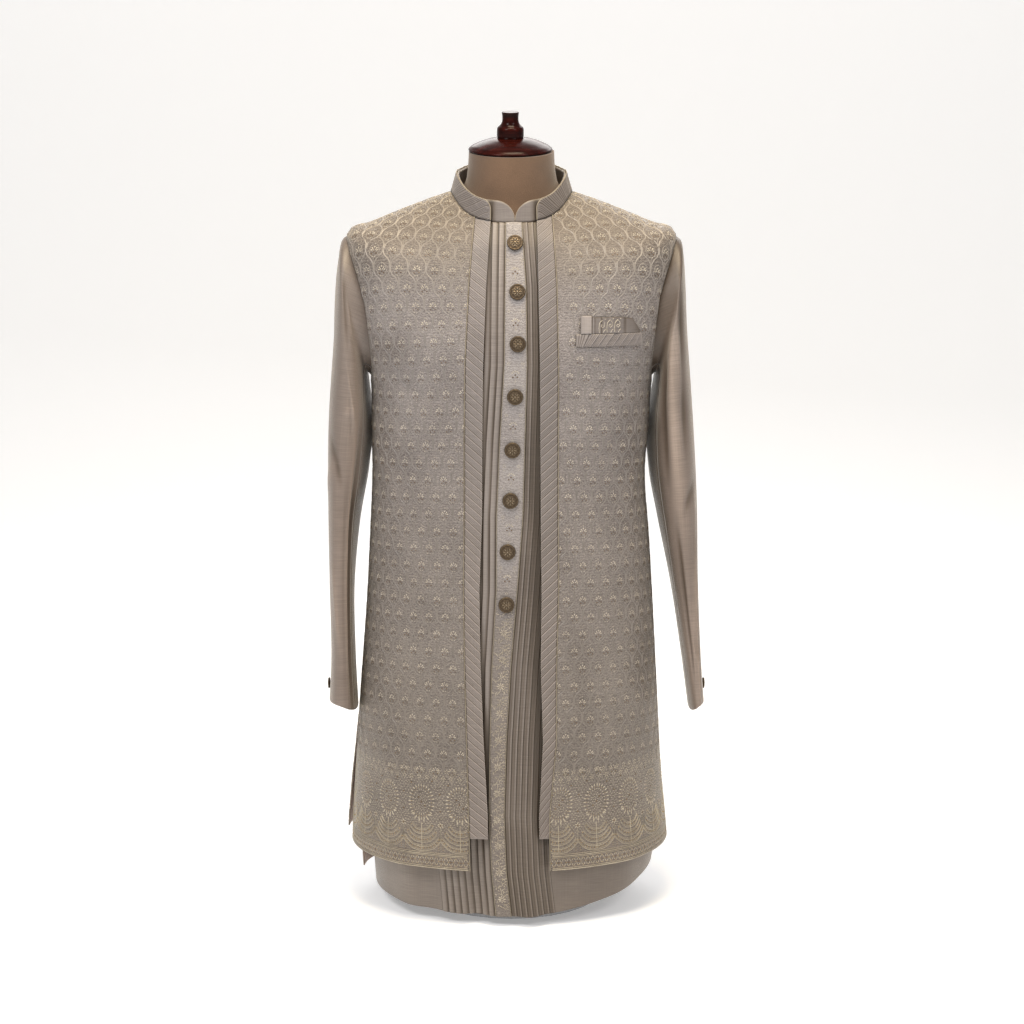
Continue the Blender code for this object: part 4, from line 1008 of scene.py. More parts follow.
# %% [markdown]
# ## Tucked bands
# The bands that frame the opening are strips of silk folded into slanting tucks before they
# are cut. Each tuck is a low wedge that rises in a few fine ironed ribs and then drops at
# its fold. Shade is painted into the colour in the lines between ribs and at the drop, and a
# highlight on the fold; how dark each line is painted changes from tuck to tuck. An Array
# modifier would make every tuck alike, so a loop places them and a seeded generator varies
# them.

# %% Bands
BAND_TUCKS, BAND_SLANT, BAND_FOOT_Z = 72, 21.0 * MM, 121
RIBS = 4                             # ironed ribs in one tuck
BAND_SHADE = {RIGHT: 0.0, LEFT: 0.14}
height_rings = np.linspace(0, NECK, 1501)
front_heights = ring_at(height_rings)["z_front"]


def ring_for_height(z):
    return np.interp(z, front_heights, height_rings)


def tuck_profile(depth, edge, pale):
    """One tuck as (share, rise, painted shading): ribs that climb, with shade painted in the lines
    between them, a folded edge painted light and a drop painted dark. Depth is how dark those
    lines are painted; edge scales the shade at the foot and the drop and the light on the fold.
    """
    profile = [(0.0, 0.02, -0.9 * edge), (0.045, 0.12, -0.3)]
    for rib in range(RIBS):
        start, wide, low = 0.05 + 0.84 * rib / RIBS, 0.84 / RIBS, 0.15 + 0.85 * rib / RIBS
        profile += [(start + 0.30 * wide, low + 0.12, 0.22), (start + 0.68 * wide, low + 0.20, 0.1)]
        if rib < RIBS - 1:
            profile.append((start + wide, low + 0.02, -depth))
    return profile + [(0.915, 1.0, pale * edge), (0.945, 0.86, -0.1), (0.975, 0.06, -0.95 * edge)]


def tuck_lines(count, seed, pale):
    """Places, rises and painted shading of every line across a tucked strip.

    Pale is how bright the highlight painted on the folded edges is at the first and at the last tuck."""
    uneven = np.random.default_rng(seed)
    lines = []
    for tuck in range(count):
        profile = tuck_profile(uneven.uniform(0.4, 0.75), uneven.uniform(0.65, 1.0),
                               np.interp(tuck / count, (0.35, 0.8), pale))
        lines += [(tuck + share, rise, press) for share, rise, press in profile]
    return np.array(lines + [(count, 0.04, 0.0)]).T


def cut_off(along, length):
    """Ends slanting lines at the ends of a strip; what runs past an end is folded away there.

    Returns the place of each point and 1 where it is inside the strip, 0 where it is not."""
    inside = (along > 0) & (along < length)
    middle = along[:, along.shape[1] // 2][:, None]
    even = (middle - middle.min()) / np.ptp(middle) * length
    return 0.93 * np.clip(along, 0, length) + 0.07 * even, inside * 1.0


def band(side):
    length = (RINGS[NECK, 0] - BAND_FOOT_Z) * MM
    pitch = length / BAND_TUCKS
    ends = math.ceil(BAND_SLANT / pitch)
    place, rise, press = tuck_lines(BAND_TUCKS + 2 * ends, 11 + side, pale=(0.95, 0.2))
    along = (place - ends) * pitch
    slant = BAND_SLANT * (1 - 0.3 * soft_step((along - 0.72 * length) / (0.2 * length)))
    share = np.array((0, 0.05, 0.18, 0.34, 0.5, 0.66, 0.82, 0.94, 1.0))
    along, inside = cut_off(along[:, None] + slant[:, None] * (share - 0.5), length)
    rise, press = rise[:, None] * inside + 0.3 * (1 - inside), press[:, None] * inside
    t = ring_for_height(BAND_FOOT_Z + along / MM)
    inner, outer = edge_x("band_" + WORD[side], t), edge_x("front_" + WORD[side], t) - side * SEAM
    angles = angle_at(inner + (outer - inner) * share, t, over_face)
    points = over_face(angles, t, (rise - 1) * TUCK_RISE)
    # Shade painted along the seam by the front, and a highlight painted on the band's inner edge.
    press = press + np.where(share == 1, -1.0, 0.35 * (share == 0))
    press = np.clip(press - BAND_SHADE[side], -1, 1)
    grain = 0
    if side == RIGHT:
        points, press, grain = points[:, ::-1], press[:, ::-1], len(share) - 1
    cloth(f"tucked_band_{WORD[side]}", points, TUCKED, grain, f"band_{WORD[side]}",
          thick=1.2 * MM, press=press, held="hung", slot="tucked_silk",
          rests_on=(f"over_coat_front_{WORD[side]}",))


for side in (RIGHT, LEFT):
    band(side)

# %% [markdown]
# ## Stand collars
# Both collars are stiffened strips that stand from the neck seam and lean in a little. The
# plain one meets in front with round corners; the tucked one stops at the bands. A flat
# strip could be bent with a curve modifier, but its foot has to sit on a neck seam that dips
# in front, so the strip is built up from the seam itself, point by point.

# %% Collar face
COLLAR_HEIGHT, COLLAR_LIFT, COLLAR_SPLIT = 27.5 * MM, 0.6 * MM, 4.6 * MM
COLLAR_SIDE_RISE, COLLAR_BACK_RISE = 3.5 * MM, 6.5 * MM   # how much taller it stands there
COLLAR_TUCKS, COLLAR_BACK_GAP = 16, 0.002
COLLAR_SLANT = {RIGHT: (0.30, 0.24), LEFT: (0.04, 0.34)}   # along the strip, more at the end
COLLAR_SHADE = {RIGHT: -0.12, LEFT: -0.34}
STAND_LEAN = {"front": 0.02, "side": 0.32, "back": 0.14}


def collar_frame(phi):
    normal = body_outward(phi, np.full(np.shape(phi), float(NECK)))
    outward = unit(normal * np.array((1, 1, 0)))
    s, c = np.sin(phi), np.cos(phi)
    end = np.where(c > 0, STAND_LEAN["front"], STAND_LEAN["back"])
    lean = STAND_LEAN["side"] * s * s + end * c * c
    rise = unit(np.array((0, 0, 1.0)) - outward * lean[..., None])
    foot = body_face(phi, float(NECK)) + np.array((0, 0, COLLAR_LIFT)) - outward * SEAM
    return foot, rise, outward, normal


def collar_face(phi, height, out):
    foot, rise, outward, _ = collar_frame(phi)
    across = unit(np.cross(np.cross(rise, outward), rise))
    return foot + rise * height[..., None] + across * out[..., None]


def rounded_top(phi, start, corner):
    """Height of a collar whose front end has a round corner."""
    zero = np.zeros(np.shape(phi))
    ends = collar_face(phi, zero, zero), collar_face(np.array([start]), zero[:1], zero[:1])
    away = np.linalg.norm(ends[0] - ends[1], axis=-1)
    reach = np.clip(1 - away / corner, 0, 1)
    s, c = np.sin(phi), np.cos(phi)
    full = COLLAR_HEIGHT + COLLAR_SIDE_RISE * s * s + COLLAR_BACK_RISE * np.where(c < 0, c * c, 0)
    return np.maximum(full - corner * (1 - np.sqrt(1 - reach ** 2)), 3 * MM)


def collar_panel(name, side, turn, out, foot, top, thick, finish, node, slot, press):
    share = np.linspace(0, 1, len(turn))[:, None]
    points = collar_face(turn, foot + (top - foot) * share, out + 0 * turn)
    # Shade painted along the collar's foot.
    press = np.broadcast_to(press, turn.shape) - 0.3 * (share == 0)
    if side == RIGHT:
        points, press = points[:, ::-1], press[:, ::-1]
    return cloth(name, points, finish, turn.shape[1] // 2, node, thick=thick, slot=slot,
                 held="stretched", bent_strip=True, press=press)


print("collar height", COLLAR_HEIGHT / MM, "mm")

# %% Collars
def under_collar(side):
    start = float(angle_at(COLLAR_SPLIT + side * SEAM, float(NECK), body_face))
    share = np.linspace(0, 1, 73) ** 1.3
    phi = start + (side * (math.pi - COLLAR_BACK_GAP) - start) * share
    turn = np.broadcast_to(phi, (12, len(phi)))
    covered = float(angle_at(edge_x("band_" + WORD[side], float(NECK)), float(NECK), over_face))
    beside = abs(phi - covered) * 80             # millimetres from the over collar's end
    # Shade painted on the plain collar where the tucked collar's end stands over it, and a little all
    # along.
    return collar_panel(f"plain_collar_{WORD[side]}", side, turn, 0.0, 0.0,
                        rounded_top(turn, start, 25 * MM), CLOTH, COOL_LIT_SILK,
                        f"under_collar_{WORD[side]}", "silk",
                        -0.08 - 0.75 * np.exp(-(beside / 4.5) ** 2)[None, :])


def over_collar(side):
    start = float(angle_at(edge_x("band_" + WORD[side], float(NECK)), float(NECK), over_face))
    length = math.pi - COLLAR_BACK_GAP - abs(start)
    pitch, ends = length / COLLAR_TUCKS, 2
    place, rise, press = tuck_lines(COLLAR_TUCKS + 2 * ends, 21 + side, pale=(0.0, 0.0))
    away = (place - ends) * pitch
    even, more = COLLAR_SLANT[side]
    lean = even + more * np.exp(-(np.clip(away, 0, None) / 0.7) ** 2)
    share = np.linspace(0, 1, 12)[:, None]
    away, inside = cut_off((away - lean * (share - 0.5)).T, length)
    rise, press = (rise[:, None] * inside + 0.3 * (1 - inside)).T, (press[:, None] * inside).T
    turn = side * (abs(start) + away.T)
    foot_at, rise_at, _, normal = collar_frame(turn)
    corner = body_face(turn, float(NECK)) + normal * (gap_at(turn, float(NECK)) + CLOTH)[..., None]
    foot = ((corner - foot_at) * rise_at).sum(-1) + LYING * 1.5
    out = gap_at(turn, float(NECK)) + LYING + CLOTH - TUCK_RISE * (1 - rise)
    return collar_panel(f"tucked_collar_{WORD[side]}", side, turn, out, foot,
                        rounded_top(turn, start, 12 * MM), 1.1 * MM, TUCKED,
                        f"over_collar_{WORD[side]}", "tucked_silk", press + COLLAR_SHADE[side])


plain_collars = {side: under_collar(side) for side in (RIGHT, LEFT)}
tucked_collars = {side: over_collar(side) for side in (RIGHT, LEFT)}

# %% [markdown]
# ## Pocket
# A slanting-tucked welt covers the slit of the breast pocket, and a folded square of the
# same silk stands in it. Both lie on the over coat's front, so their rows and columns are
# found on that face by height and distance across, and then lifted off it.

# %% Welt and pocket square
POCKET_LIFT = 0.6 * MM
WELT_X, WELT_Z, WELT_TUCKS, WELT_LEAN = (83.0, 170.0), (773.0, 789.5), 9, 12.0
SQUARE_X, SQUARE_FOOT, SQUARE_TOP = (89.0, 168.0), WELT_Z[1] + 0.4, 813.0
SQUARE_FALL = ((0, 0.19, 0.22, 0.7, 0.86, 1.0), (0, 0, 2.0, 2.4, 4.5, 21.0))   # share, mm down
PLEATS = np.array((                  # share across, puff in millimetres, painted shading
    (0.0, 1.2, -0.3), (0.02, 1.8, 0.5), (0.10, 2.0, 0.8), (0.175, 1.9, 0.75), (0.19, 0.3, -1.0),
    (0.205, 1.1, -0.1), (0.225, 1.2, 0.0), (0.235, 0.3, -0.9), (0.25, 0.5, -0.3),
    (0.33, 0.5, -0.15), (0.345, 0.2, -0.95), (0.37, 1.4, -0.15), (0.44, 1.0, -0.3),
    (0.50, 0.5, -0.1), (0.56, 1.5, -0.3), (0.66, 1.2, -0.2), (0.70, 0.7, -0.2),
    (0.74, 0.3, -0.75), (0.77, 0.9, -0.3), (0.88, 0.9, -0.4), (1.0, 0.2, -0.7)))


def front_at(x, z):
    """Angle and ring of the over coat's front at places across and up, in millimetres."""
    x, z = np.broadcast_arrays(x, z)
    t = ring_for_height(z)
    for _ in range(12):
        phi = angle_at(x * MM, t, over_face)
        t = t + (z - over_face(phi, t)[..., 2] / MM) / 60.0
    return phi, t


def tucked_welt():
    place, rise, press = tuck_lines(WELT_TUCKS, 31, pale=(0.8, 0.8))
    share, level = place / WELT_TUCKS, np.linspace(0, 1, 9)
    leaning = WELT_LEAN * np.clip(np.minimum(share, 1 - share) * 6, 0, 1)[None, :] * level[:, None]
    phi, t = front_at(WELT_X[0] + (WELT_X[1] - WELT_X[0]) * share[None, :] + leaning,
                      (WELT_Z[0] + (WELT_Z[1] - WELT_Z[0]) * level)[:, None])
    crown = np.sin(np.pi * (0.04 + 0.92 * level)) ** 0.35
    lift = POCKET_LIFT + 1.2 * MM + TUCK_RISE * rise[None, :] * crown[:, None]
    # The tucks' shade and highlights are painted into the welt's colour.
    cloth("tucked_welt", over_face(phi, t, lift), TUCKED, 0, "pocket_welt", thick=1.2 * MM,
          held="folded", rests_on=("over_coat_front_left",), slot="tucked_silk",
          press=press[None, :])


def pocket_square():
    share = np.unique(np.concatenate((np.linspace(0, 1, 50), PLEATS[:, 0])))
    level = np.linspace(0, 1, 14)[:, None]
    z = SQUARE_FOOT + (SQUARE_TOP - SQUARE_FOOT - np.interp(share, *SQUARE_FALL)[None, :]) * level
    puff, press = (np.interp(share, PLEATS[:, 0], PLEATS[:, k])[None, :] * (0.75 + 0.25 * level)
                   for k in (1, 2))
    phi, t = front_at(SQUARE_X[0] + (SQUARE_X[1] - SQUARE_X[0]) * share[None, :], z)
    # The pleats' shade and highlights, and shade along the top edge, are painted into the colour.
    return cloth("folded_pocket_square", over_face(phi, t, POCKET_LIFT + (0.8 + puff) * MM),
                 TUCKED, 0, "pocket_square", thick=0.8 * MM, held="folded",
                 rests_on=("over_coat_front_left",),
                 press=press - 0.5 * (level > 0.96) * (share > 0.2))


tucked_welt()
square = pocket_square()

# %% [markdown]
# ## Buttons
# The buttons are cast metal with a rim, a domed ground and a flower in relief, darkened in
# the hollows and rubbed bright on the high places. Each is a fine disc of rings whose height
# comes from a formula; the same height, kept as an attribute, tells the finish where the
# hollows are.

# %% Antique gold
def gold_finish():
    material, bench, shader = new_finish("antique_gold", colour(120, 104, 84), 0.3, metallic=0.8)
    relief = bench.add("ShaderNodeAttribute", attribute_name="relief").outputs["Fac"]
    pits = noise(bench, bench.place(), 4.0, 0.6, 900.0)
    level = bench.maths("MULTIPLY_ADD", pits, 0.35, bench.maths("MULTIPLY_ADD", relief, 0.9, -0.12))
    tone = ramp(bench, level, ((0.10, colour(74, 62, 49)), (0.50, colour(98, 85, 68)),
                               (0.95, colour(140, 128, 110))))
    bench.finish(shader, Base_Color=tone, Roughness=bench.spread(level, 0.55, 0.24),
                 Normal=bench.bump(pits, 0.35, 0.0003))
    return material


GOLD = gold_finish()
print("made", GOLD.name)

# %% Button shape
def button_relief(r, turn, petals):
    """Relief 0 to 1 over a button's face, at shares r of its radius."""
    rim = 0.55 * np.exp(-((r - 0.90) / 0.07) ** 2) * (0.75 + 0.25 * np.cos(12 * turn + 1))
    scallop = 0.16 * np.exp(-((r - 0.78) / 0.05) ** 2) * (0.5 + 0.5 * np.cos(24 * turn))
    flower = np.clip(np.cos(petals * turn / 2) ** 2 - (r - 0.36) ** 2 * 16, 0, 1) ** 0.7
    vein = 0.3 * np.exp(-(np.sin(petals * turn / 2 + np.pi / 2) / 0.2) ** 2) * (r < 0.62)
    leaf = 0.5 * np.clip(np.cos(petals * turn / 2 + np.pi / 2) ** 2 - (r - 0.58) ** 2 * 60, 0, 1)
    heart = np.exp(-(r / 0.13) ** 2)
    highest = np.maximum(np.maximum(rim, heart * 0.95), np.maximum(flower * 0.8 - vein, leaf))
    return np.clip(highest + scallop, 0, 1)


def standing(place, outward):
    """Moves a shape made upright at the origin to its place, with its top turned outward."""
    spin = Vector((0, 0, 1)).rotation_difference(Vector(outward)).to_matrix().to_4x4()
    return Matrix.Translation(Vector(place)) @ spin


def button_shape(name, radius, thick, place, outward, petals=8, steps=72):
    """Closed disc: relief on top, a rolled edge, a flat back and a shank."""
    r = np.linspace(0.0, 1.0, 30)[1:]
    turn = np.linspace(0, 2 * np.pi, steps, endpoint=False)
    relief = button_relief(r[:, None], turn[None, :], petals)
    dome = 0.62 + 0.16 * (1 - r ** 2)
    edge = 1 - 0.42 * np.clip((r - 0.93) / 0.07, 0, 1) ** 2
    height = (dome[:, None] + 0.22 * relief) * edge[:, None] * thick
    rings = [(radius * share, height[k], relief[k]) for k, share in enumerate(r)]
    rings += [(radius * wide, np.full(steps, z * thick), np.zeros(steps))
              for wide, z in ((0.985, 0.18), (0.90, 0.0), (0.28, 0.0), (0.27, -0.20))]
    points = [np.stack((wide * np.cos(turn), wide * np.sin(turn), z), -1) for wide, z, _ in rings]
    shape = bmesh.new()
    layer = shape.verts.layers.float.new("relief")
    loops = []
    for ring, (_, _, levels) in zip(points, rings):
        loops.append([shape.verts.new(point) for point in ring])
        for vertex, level in zip(loops[-1], levels):
            vertex[layer] = level
    middle = shape.verts.new((0, 0, (0.78 + 0.22 * 0.95) * thick))
    middle[layer] = 0.95
    for k in range(steps):
        shape.faces.new((middle, loops[0][k], loops[0][(k + 1) % steps]))
        for upper, lower in zip(loops, loops[1:]):
            shape.faces.new((upper[k], lower[k], lower[(k + 1) % steps], upper[(k + 1) % steps]))
    shape.faces.new(loops[-1][::-1])
    shape.transform(standing(place, outward))
    mesh = bpy.data.meshes.new(name)
    shape.to_mesh(mesh)
    shape.free()
    mesh.shade_smooth()
    mesh.materials.append(GOLD)
    return to_object(name, mesh)

# %% Sewing the buttons on
BUTTON_RADIUS, BUTTON_THICK, SHANK = 10.6 * MM, 3.6 * MM, 0.8 * MM
CUFF_BUTTON_RADIUS, CUFF_BUTTON_THICK, CUFF_SHANK = 7.5 * MM, 3.2 * MM, 0.5 * MM
BUTTONS = ((4.5, 905), (7.6, 843), (8.2, 777), (4.6, 709), (1.2, 639), (-1.4, 572), (-5.0, 504),
           (-6.6, 434))
for number, (x, z) in enumerate(BUTTONS, start=1):
    t = ring_for_height(float(z))
    phi = angle_at(x * MM, t, under_face)
    outward = unit(np.cross(under_face(phi + 0.02, t) - under_face(phi - 0.02, t),
                            under_face(phi, t + 0.05) - under_face(phi, t - 0.05)))
    place = under_face(phi, t, 2.5 * LYING + CLOTH) + outward * SHANK
    belongs(button_shape(f"gold_button_{number}", BUTTON_RADIUS, BUTTON_THICK, place, outward),
            "antique_gold", f"button_{number}")
for side in (RIGHT, LEFT):
    low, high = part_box(f"cuff_button_{WORD[side]}")
    seat = low.x if side == LEFT else high.x
    place = Vector((seat + side * CUFF_SHANK, (low.y + high.y) / 2, (low.z + high.z) / 2))
    belongs(button_shape(f"gold_cuff_button_{WORD[side]}", CUFF_BUTTON_RADIUS, CUFF_BUTTON_THICK,
                         place, (side, 0, 0), petals=6, steps=48),
            "antique_gold", f"cuff_button_{WORD[side]}")
print("buttons:", len(BUTTONS) + 2)

# %% [markdown]
# ## Dress form
# The form is a padded torso covered in brown jersey, with a polished turned cap and finial
# on the neck, a steel pole and a round steel base. The torso is a closed skin of rings just
# inside the coat; cap and finial are turned profiles with their edges rounded over.

# %% Form finishes
def jersey_finish():
    material, bench, shader = new_finish("brown_jersey", colour(128, 102, 80), 0.85,
                                         sheen_weight=0.35, sheen_roughness=0.5)
    local = bench.place()
    knit = bench.add("ShaderNodeTexVoronoi", {"Vector": local, "Scale": 950.0}).outputs["Distance"]
    cloud = noise(bench, local, 3.0, 0.5, 22.0)
    tone = ramp(bench, bench.maths("MULTIPLY_ADD", knit, 0.25, bench.maths("MULTIPLY", cloud, 0.8)),
                ((0.25, colour(78, 58, 43)), (0.5, colour(92, 70, 52)),
                 (0.75, colour(103, 79, 60))))
    bench.finish(shader, Base_Color=tone, Normal=bench.bump(knit, 0.4, 0.0004))
    return material


def mahogany_finish():
    material, bench, shader = new_finish("polished_mahogany", colour(52, 14, 12), 0.3,
                                         coat_weight=0.10, coat_roughness=0.04,
                                         specular_ior_level=0.04)
    stretched = bench.add("ShaderNodeMapping", {"Vector": bench.place(),
                                                "Scale": (18, 160, 160)}).outputs[0]
    figure = noise(bench, stretched, 4.0, 0.6, 1.0)
    pores = noise(bench, stretched, 2.0, 0.7, 9.0)
    tone = ramp(bench, bench.maths("MULTIPLY_ADD", pores, 0.3, bench.maths("MULTIPLY", figure, 0.8)),
                ((0.3, colour(14, 4, 3)), (0.55, colour(36, 9, 6)), (0.8, colour(62, 18, 11))))
    bench.finish(shader, Base_Color=tone, Roughness=bench.spread(pores, 0.16, 0.34))
    return material


def steel_finish():
    material, bench, shader = new_finish("brushed_steel", (0.55, 0.55, 0.56, 1), 0.35,
                                         metallic=1.0)
    brushed = bench.add("ShaderNodeMapping", {"Vector": bench.place(),
                                              "Scale": (900, 900, 30)}).outputs[0]
    scratches = noise(bench, brushed, 3.0, 0.7, 1.0)
    tone = ramp(bench, scratches, ((0.3, (0.42, 0.42, 0.43, 1)), (0.7, (0.62, 0.62, 0.63, 1))))
    bench.finish(shader, Base_Color=tone, Roughness=bench.spread(scratches, 0.25, 0.48),
                 Normal=bench.bump(scratches, 0.2, 0.0001))
    return material


JERSEY, MAHOGANY, STEEL = jersey_finish(), mahogany_finish(), steel_finish()
print("made", JERSEY.name, MAHOGANY.name, STEEL.name)

# %% Torso and neck
# Row of the rings, and how far inside them the padded torso lies, in millimetres.
FORM_INSETS = np.array(((3.2, 24.0), (3.6, 19.0), (4.2, 14.0), (5.0, 10.0), (6.0, 7.0),
                        (7.0, 5.0), (8.0, 4.4), (9.0, 4.0), (10.0, 3.8), (11.0, 3.8),
                        (12.0, 3.5), (13.0, 4.1), (14.0, 4.6), (15.0, 5.4)))
# Heights in front, at the side and behind, then half width and depths in front and behind.
NECK_RINGS = ((945, 981, 993, 63, 67, 61), (972, 1000, 1012, 58.5, 60, 57),
              (1015.5, 1024.5, 1033.5, 57, 57, 56))
FORM_COLUMNS = 96


def closed_lathe(name, points, finish):
    """Closed skin over rings of points from the lowest up, with capped ends."""
    mesh = grid_mesh(name, points, wrap=True)
    shape = bmesh.new()
    shape.from_mesh(mesh)
    shape.verts.ensure_lookup_table()
    rows, columns = points.shape[:2]
    shape.faces.new([shape.verts[k] for k in range(columns)][::-1])
    shape.faces.new([shape.verts[(rows - 1) * columns + k] for k in range(columns)])
    shape.to_mesh(mesh)
    shape.free()
    mesh.shade_smooth()
    mesh.set_sharp_from_angle(angle=math.radians(50))
    mesh.materials.append(finish)
    return to_object(name, mesh)


phi = np.linspace(0, 2 * np.pi, FORM_COLUMNS, endpoint=False)
rings = [body_face(phi, row) - body_outward(phi, row) * inset * MM for row, inset in FORM_INSETS]
s, c = np.sin(phi), np.cos(phi)
for z_front, z_side, z_back, wide, deep_front, deep_back in NECK_RINGS:
    z_end = np.where(c > 0, z_front, z_back)
    deep = np.where(c > 0, deep_front, deep_back)
    rings.append(np.stack((wide * s, -deep * c, z_side + (z_end - z_side) * abs(c)), -1) * MM)
rings = np.array(rings)
fine = np.concatenate((np.linspace(0, len(rings) - 3, 40),
                       np.linspace(len(rings) - 3, len(rings) - 1, 22)[1:]))
torso = closed_lathe("jersey_torso", through(rings, fine), JERSEY)
belongs(torso, "form_cloth", "form_torso")
print("torso", len(torso.data.polygons), "faces")

# %% Cap and finial
CAP_TILT, CAP_CENTRE = math.radians(9.0), Vector((-1.5, 0.0, 1025.0)) * MM
CAP_PROFILE = ((0.4, 0.4), (50, 0.4), (54.5, 0.6), (55.7, 1.2), (56, 2.2), (55.6, 3.3),
               (54.5, 4.2), (51.5, 6.6), (47, 8.9), (40, 11.9), (33, 14.2), (26, 16.1),
               (18, 17.3), (9, 17.6), (0.4, 17.6))
FINIAL_PROFILE = ((0.3, 0.0), (16.0, 0.0), (17.5, 0.9), (17.9, 3.0), (17.9, 9.0), (17.6, 12.0),
                  (16.6, 14.0), (14.6, 15.6), (12.6, 17.8), (11.3, 20.6), (10.8, 24.0),
                  (10.9, 29.0), (11.5, 32.8), (11.3, 33.8), (6.0, 34.1), (0.3, 34.2))
FINIAL_SEAT = 17.8 * MM


def turned_piece(name, profile, seat, node, steps=96):
    """Turned wood from (radius, height) points in millimetres, foot first."""
    profile = through(np.array(profile, float), np.linspace(0, len(profile) - 1,
                                                            4 * len(profile)))
    turn = np.linspace(0, 2 * np.pi, steps, endpoint=False)
    points = np.stack((profile[:, :1] * np.cos(turn), profile[:, :1] * np.sin(turn),
                       profile[:, 1:] + 0 * turn), -1) * MM
    piece = closed_lathe(name, points, MAHOGANY)
    axis = Vector((0, -math.sin(CAP_TILT), math.cos(CAP_TILT)))
    piece.data.transform(standing(CAP_CENTRE + axis * seat, axis))
    belongs(piece, "mahogany", node)


turned_piece("turned_neck_cap", CAP_PROFILE, 0.0, "neck_cap")
turned_piece("turned_finial", FINIAL_PROFILE, FINIAL_SEAT, "finial", steps=64)
for name in ("base_plate", "pole"):
    node = frame["nodes"][name]
    node.data.materials.clear()
    node.data.materials.append(STEEL)
print("cap, finial, base and pole finished")

# %% [markdown]
# ## Embroidery as real threads
# A machine embroiders the cloth flat, before it is cut, in a repeat that drops by half at
# every other row. The lesson does the same. One small motif of satin-stitch ribs is built
# flat, a Geometry Nodes tree sets it out on the flat cut, and Sample UV Surface then carries
# every point from the cut to the draped panel, raised along its normal. So the rows bend
# round the body just as the cloth does, and they are cut off cleanly at its edges.

# %% Maps of the hem
def vertex_map(thing, name, values):
    """Stores a pair of values for each vertex as a UV map of the panel."""
    mesh = thing.data
    owner = np.zeros(len(mesh.loops), int)
    mesh.loops.foreach_get("vertex_index", owner)
    layer = mesh.uv_layers.new(name=name)
    layer.data.foreach_set("uv", values[owner].astype(np.float32).ravel())
    mesh.uv_layers.active = mesh.uv_layers["cut"]


def hem_map(thing, from_right=False):
    """Distance along the hem and height above it, in metres, for a panel's grid."""
    points = grids[thing.name].astype(np.float32).astype(float)    # as the mesh rounds them
    columns = points.shape[1]
    step = np.linalg.norm(np.diff(points[0], axis=0), axis=1)
    along = np.concatenate(((0,), np.cumsum(step)))
    along = along[-1] - along if from_right else along
    rise = np.linalg.norm(np.diff(points, axis=0), axis=2)
    above = np.concatenate((np.zeros((1, columns)), np.cumsum(rise, 0)))
    values = np.stack((np.broadcast_to(along, above.shape), above), -1).reshape(-1, 2)
    vertex_map(thing, "hem", values)
    height = thing.data.attributes.new("above_hem", "FLOAT", "POINT")
    height.data.foreach_set("value", values[:, 1].astype(np.float32))
    return along.max()


hem_lengths = {"right": hem_map(over_fronts[RIGHT], from_right=True),
               "left": hem_map(over_fronts[LEFT]), "back": hem_map(over_back)}
print("hems:", {word: round(length * 1000) for word, length in hem_lengths.items()}, "mm")

# %% Building flat motifs
motifs = []                          # flat motifs, removed once they are laid out


class Motif:
    """Gathers the stitches of a flat motif, in millimetres, as vertices and faces."""

    def __init__(self):
        self.points, self.faces = [], []

    def add(self, points, faces):
        start = len(self.points)
        self.points += [tuple(point) for point in points]
        self.faces += [tuple(start + k for k in face) for face in faces]

    def rib(self, path, width, height):
        """Thread along a path: two slopes meeting at a ridge."""
        path = np.array(path, float)
        way = np.gradient(path, axis=0)
        way /= np.linalg.norm(way, axis=1)[:, None]
        off = np.stack((-way[:, 1], way[:, 0]), 1) * width / 2
        edge, ridge = np.full((len(path), 1), -0.12), np.full((len(path), 1), height)
        points = np.stack((np.hstack((path - off, edge)), np.hstack((path, ridge)),
                           np.hstack((path + off, edge))), 1).reshape(-1, 3)
        self.add(points, [(k + a, k + 3 + a, k + 4 + a, k + 1 + a)
                          for k in range(0, 3 * len(path) - 3, 3) for a in (0, 1)])

    def seed(self, x, y, length, width, turn, height):
        """Satin-stitched grain: a low four-sided pyramid, pointed at both ends."""
        c, s = math.cos(math.radians(turn)), math.sin(math.radians(turn))
        flat = ((length / 2, 0), (0, width / 2), (-length / 2, 0), (0, -width / 2))
        points = [(x + c * a - s * b, y + s * a + c * b, -0.1) for a, b in flat]
        self.add(points + [(x, y, height)], [(0, 1, 4), (1, 2, 4), (2, 3, 4), (3, 0, 4)])

    def sequin(self, x, y, radius, height, sides=6):
        turns = [2 * math.pi * k / sides for k in range(sides)]
        foot = [(x + radius * math.cos(a), y + radius * math.sin(a), -0.1) for a in turns]
        top = [(x + 0.9 * radius * math.cos(a), y + 0.9 * radius * math.sin(a), height * 0.7)
               for a in turns]
        faces = [(k, (k + 1) % sides, sides + (k + 1) % sides, sides + k) for k in range(sides)]
        faces += [(sides + k, sides + (k + 1) % sides, 2 * sides) for k in range(sides)]
        self.add(foot + top + [(x, y, height)], faces)

    def flower(self, x, y, petals, reach, width, height, first=90.0):
        for k in range(petals):
            turn = first + 360.0 * k / petals
            a = math.radians(turn)
            self.seed(x + reach * 0.58 * math.cos(a), y + reach * 0.58 * math.sin(a),
                      reach * 0.85, width, turn, height)

    def build(self, name):
        mesh = bpy.data.meshes.new("flat_" + name)
        mesh.from_pydata((np.array(self.points) * MM).tolist(), [], self.faces)
        motifs.append(to_object(mesh.name, mesh))
        print(f"{mesh.name}: {len(self.faces)} faces")
        return motifs[-1]

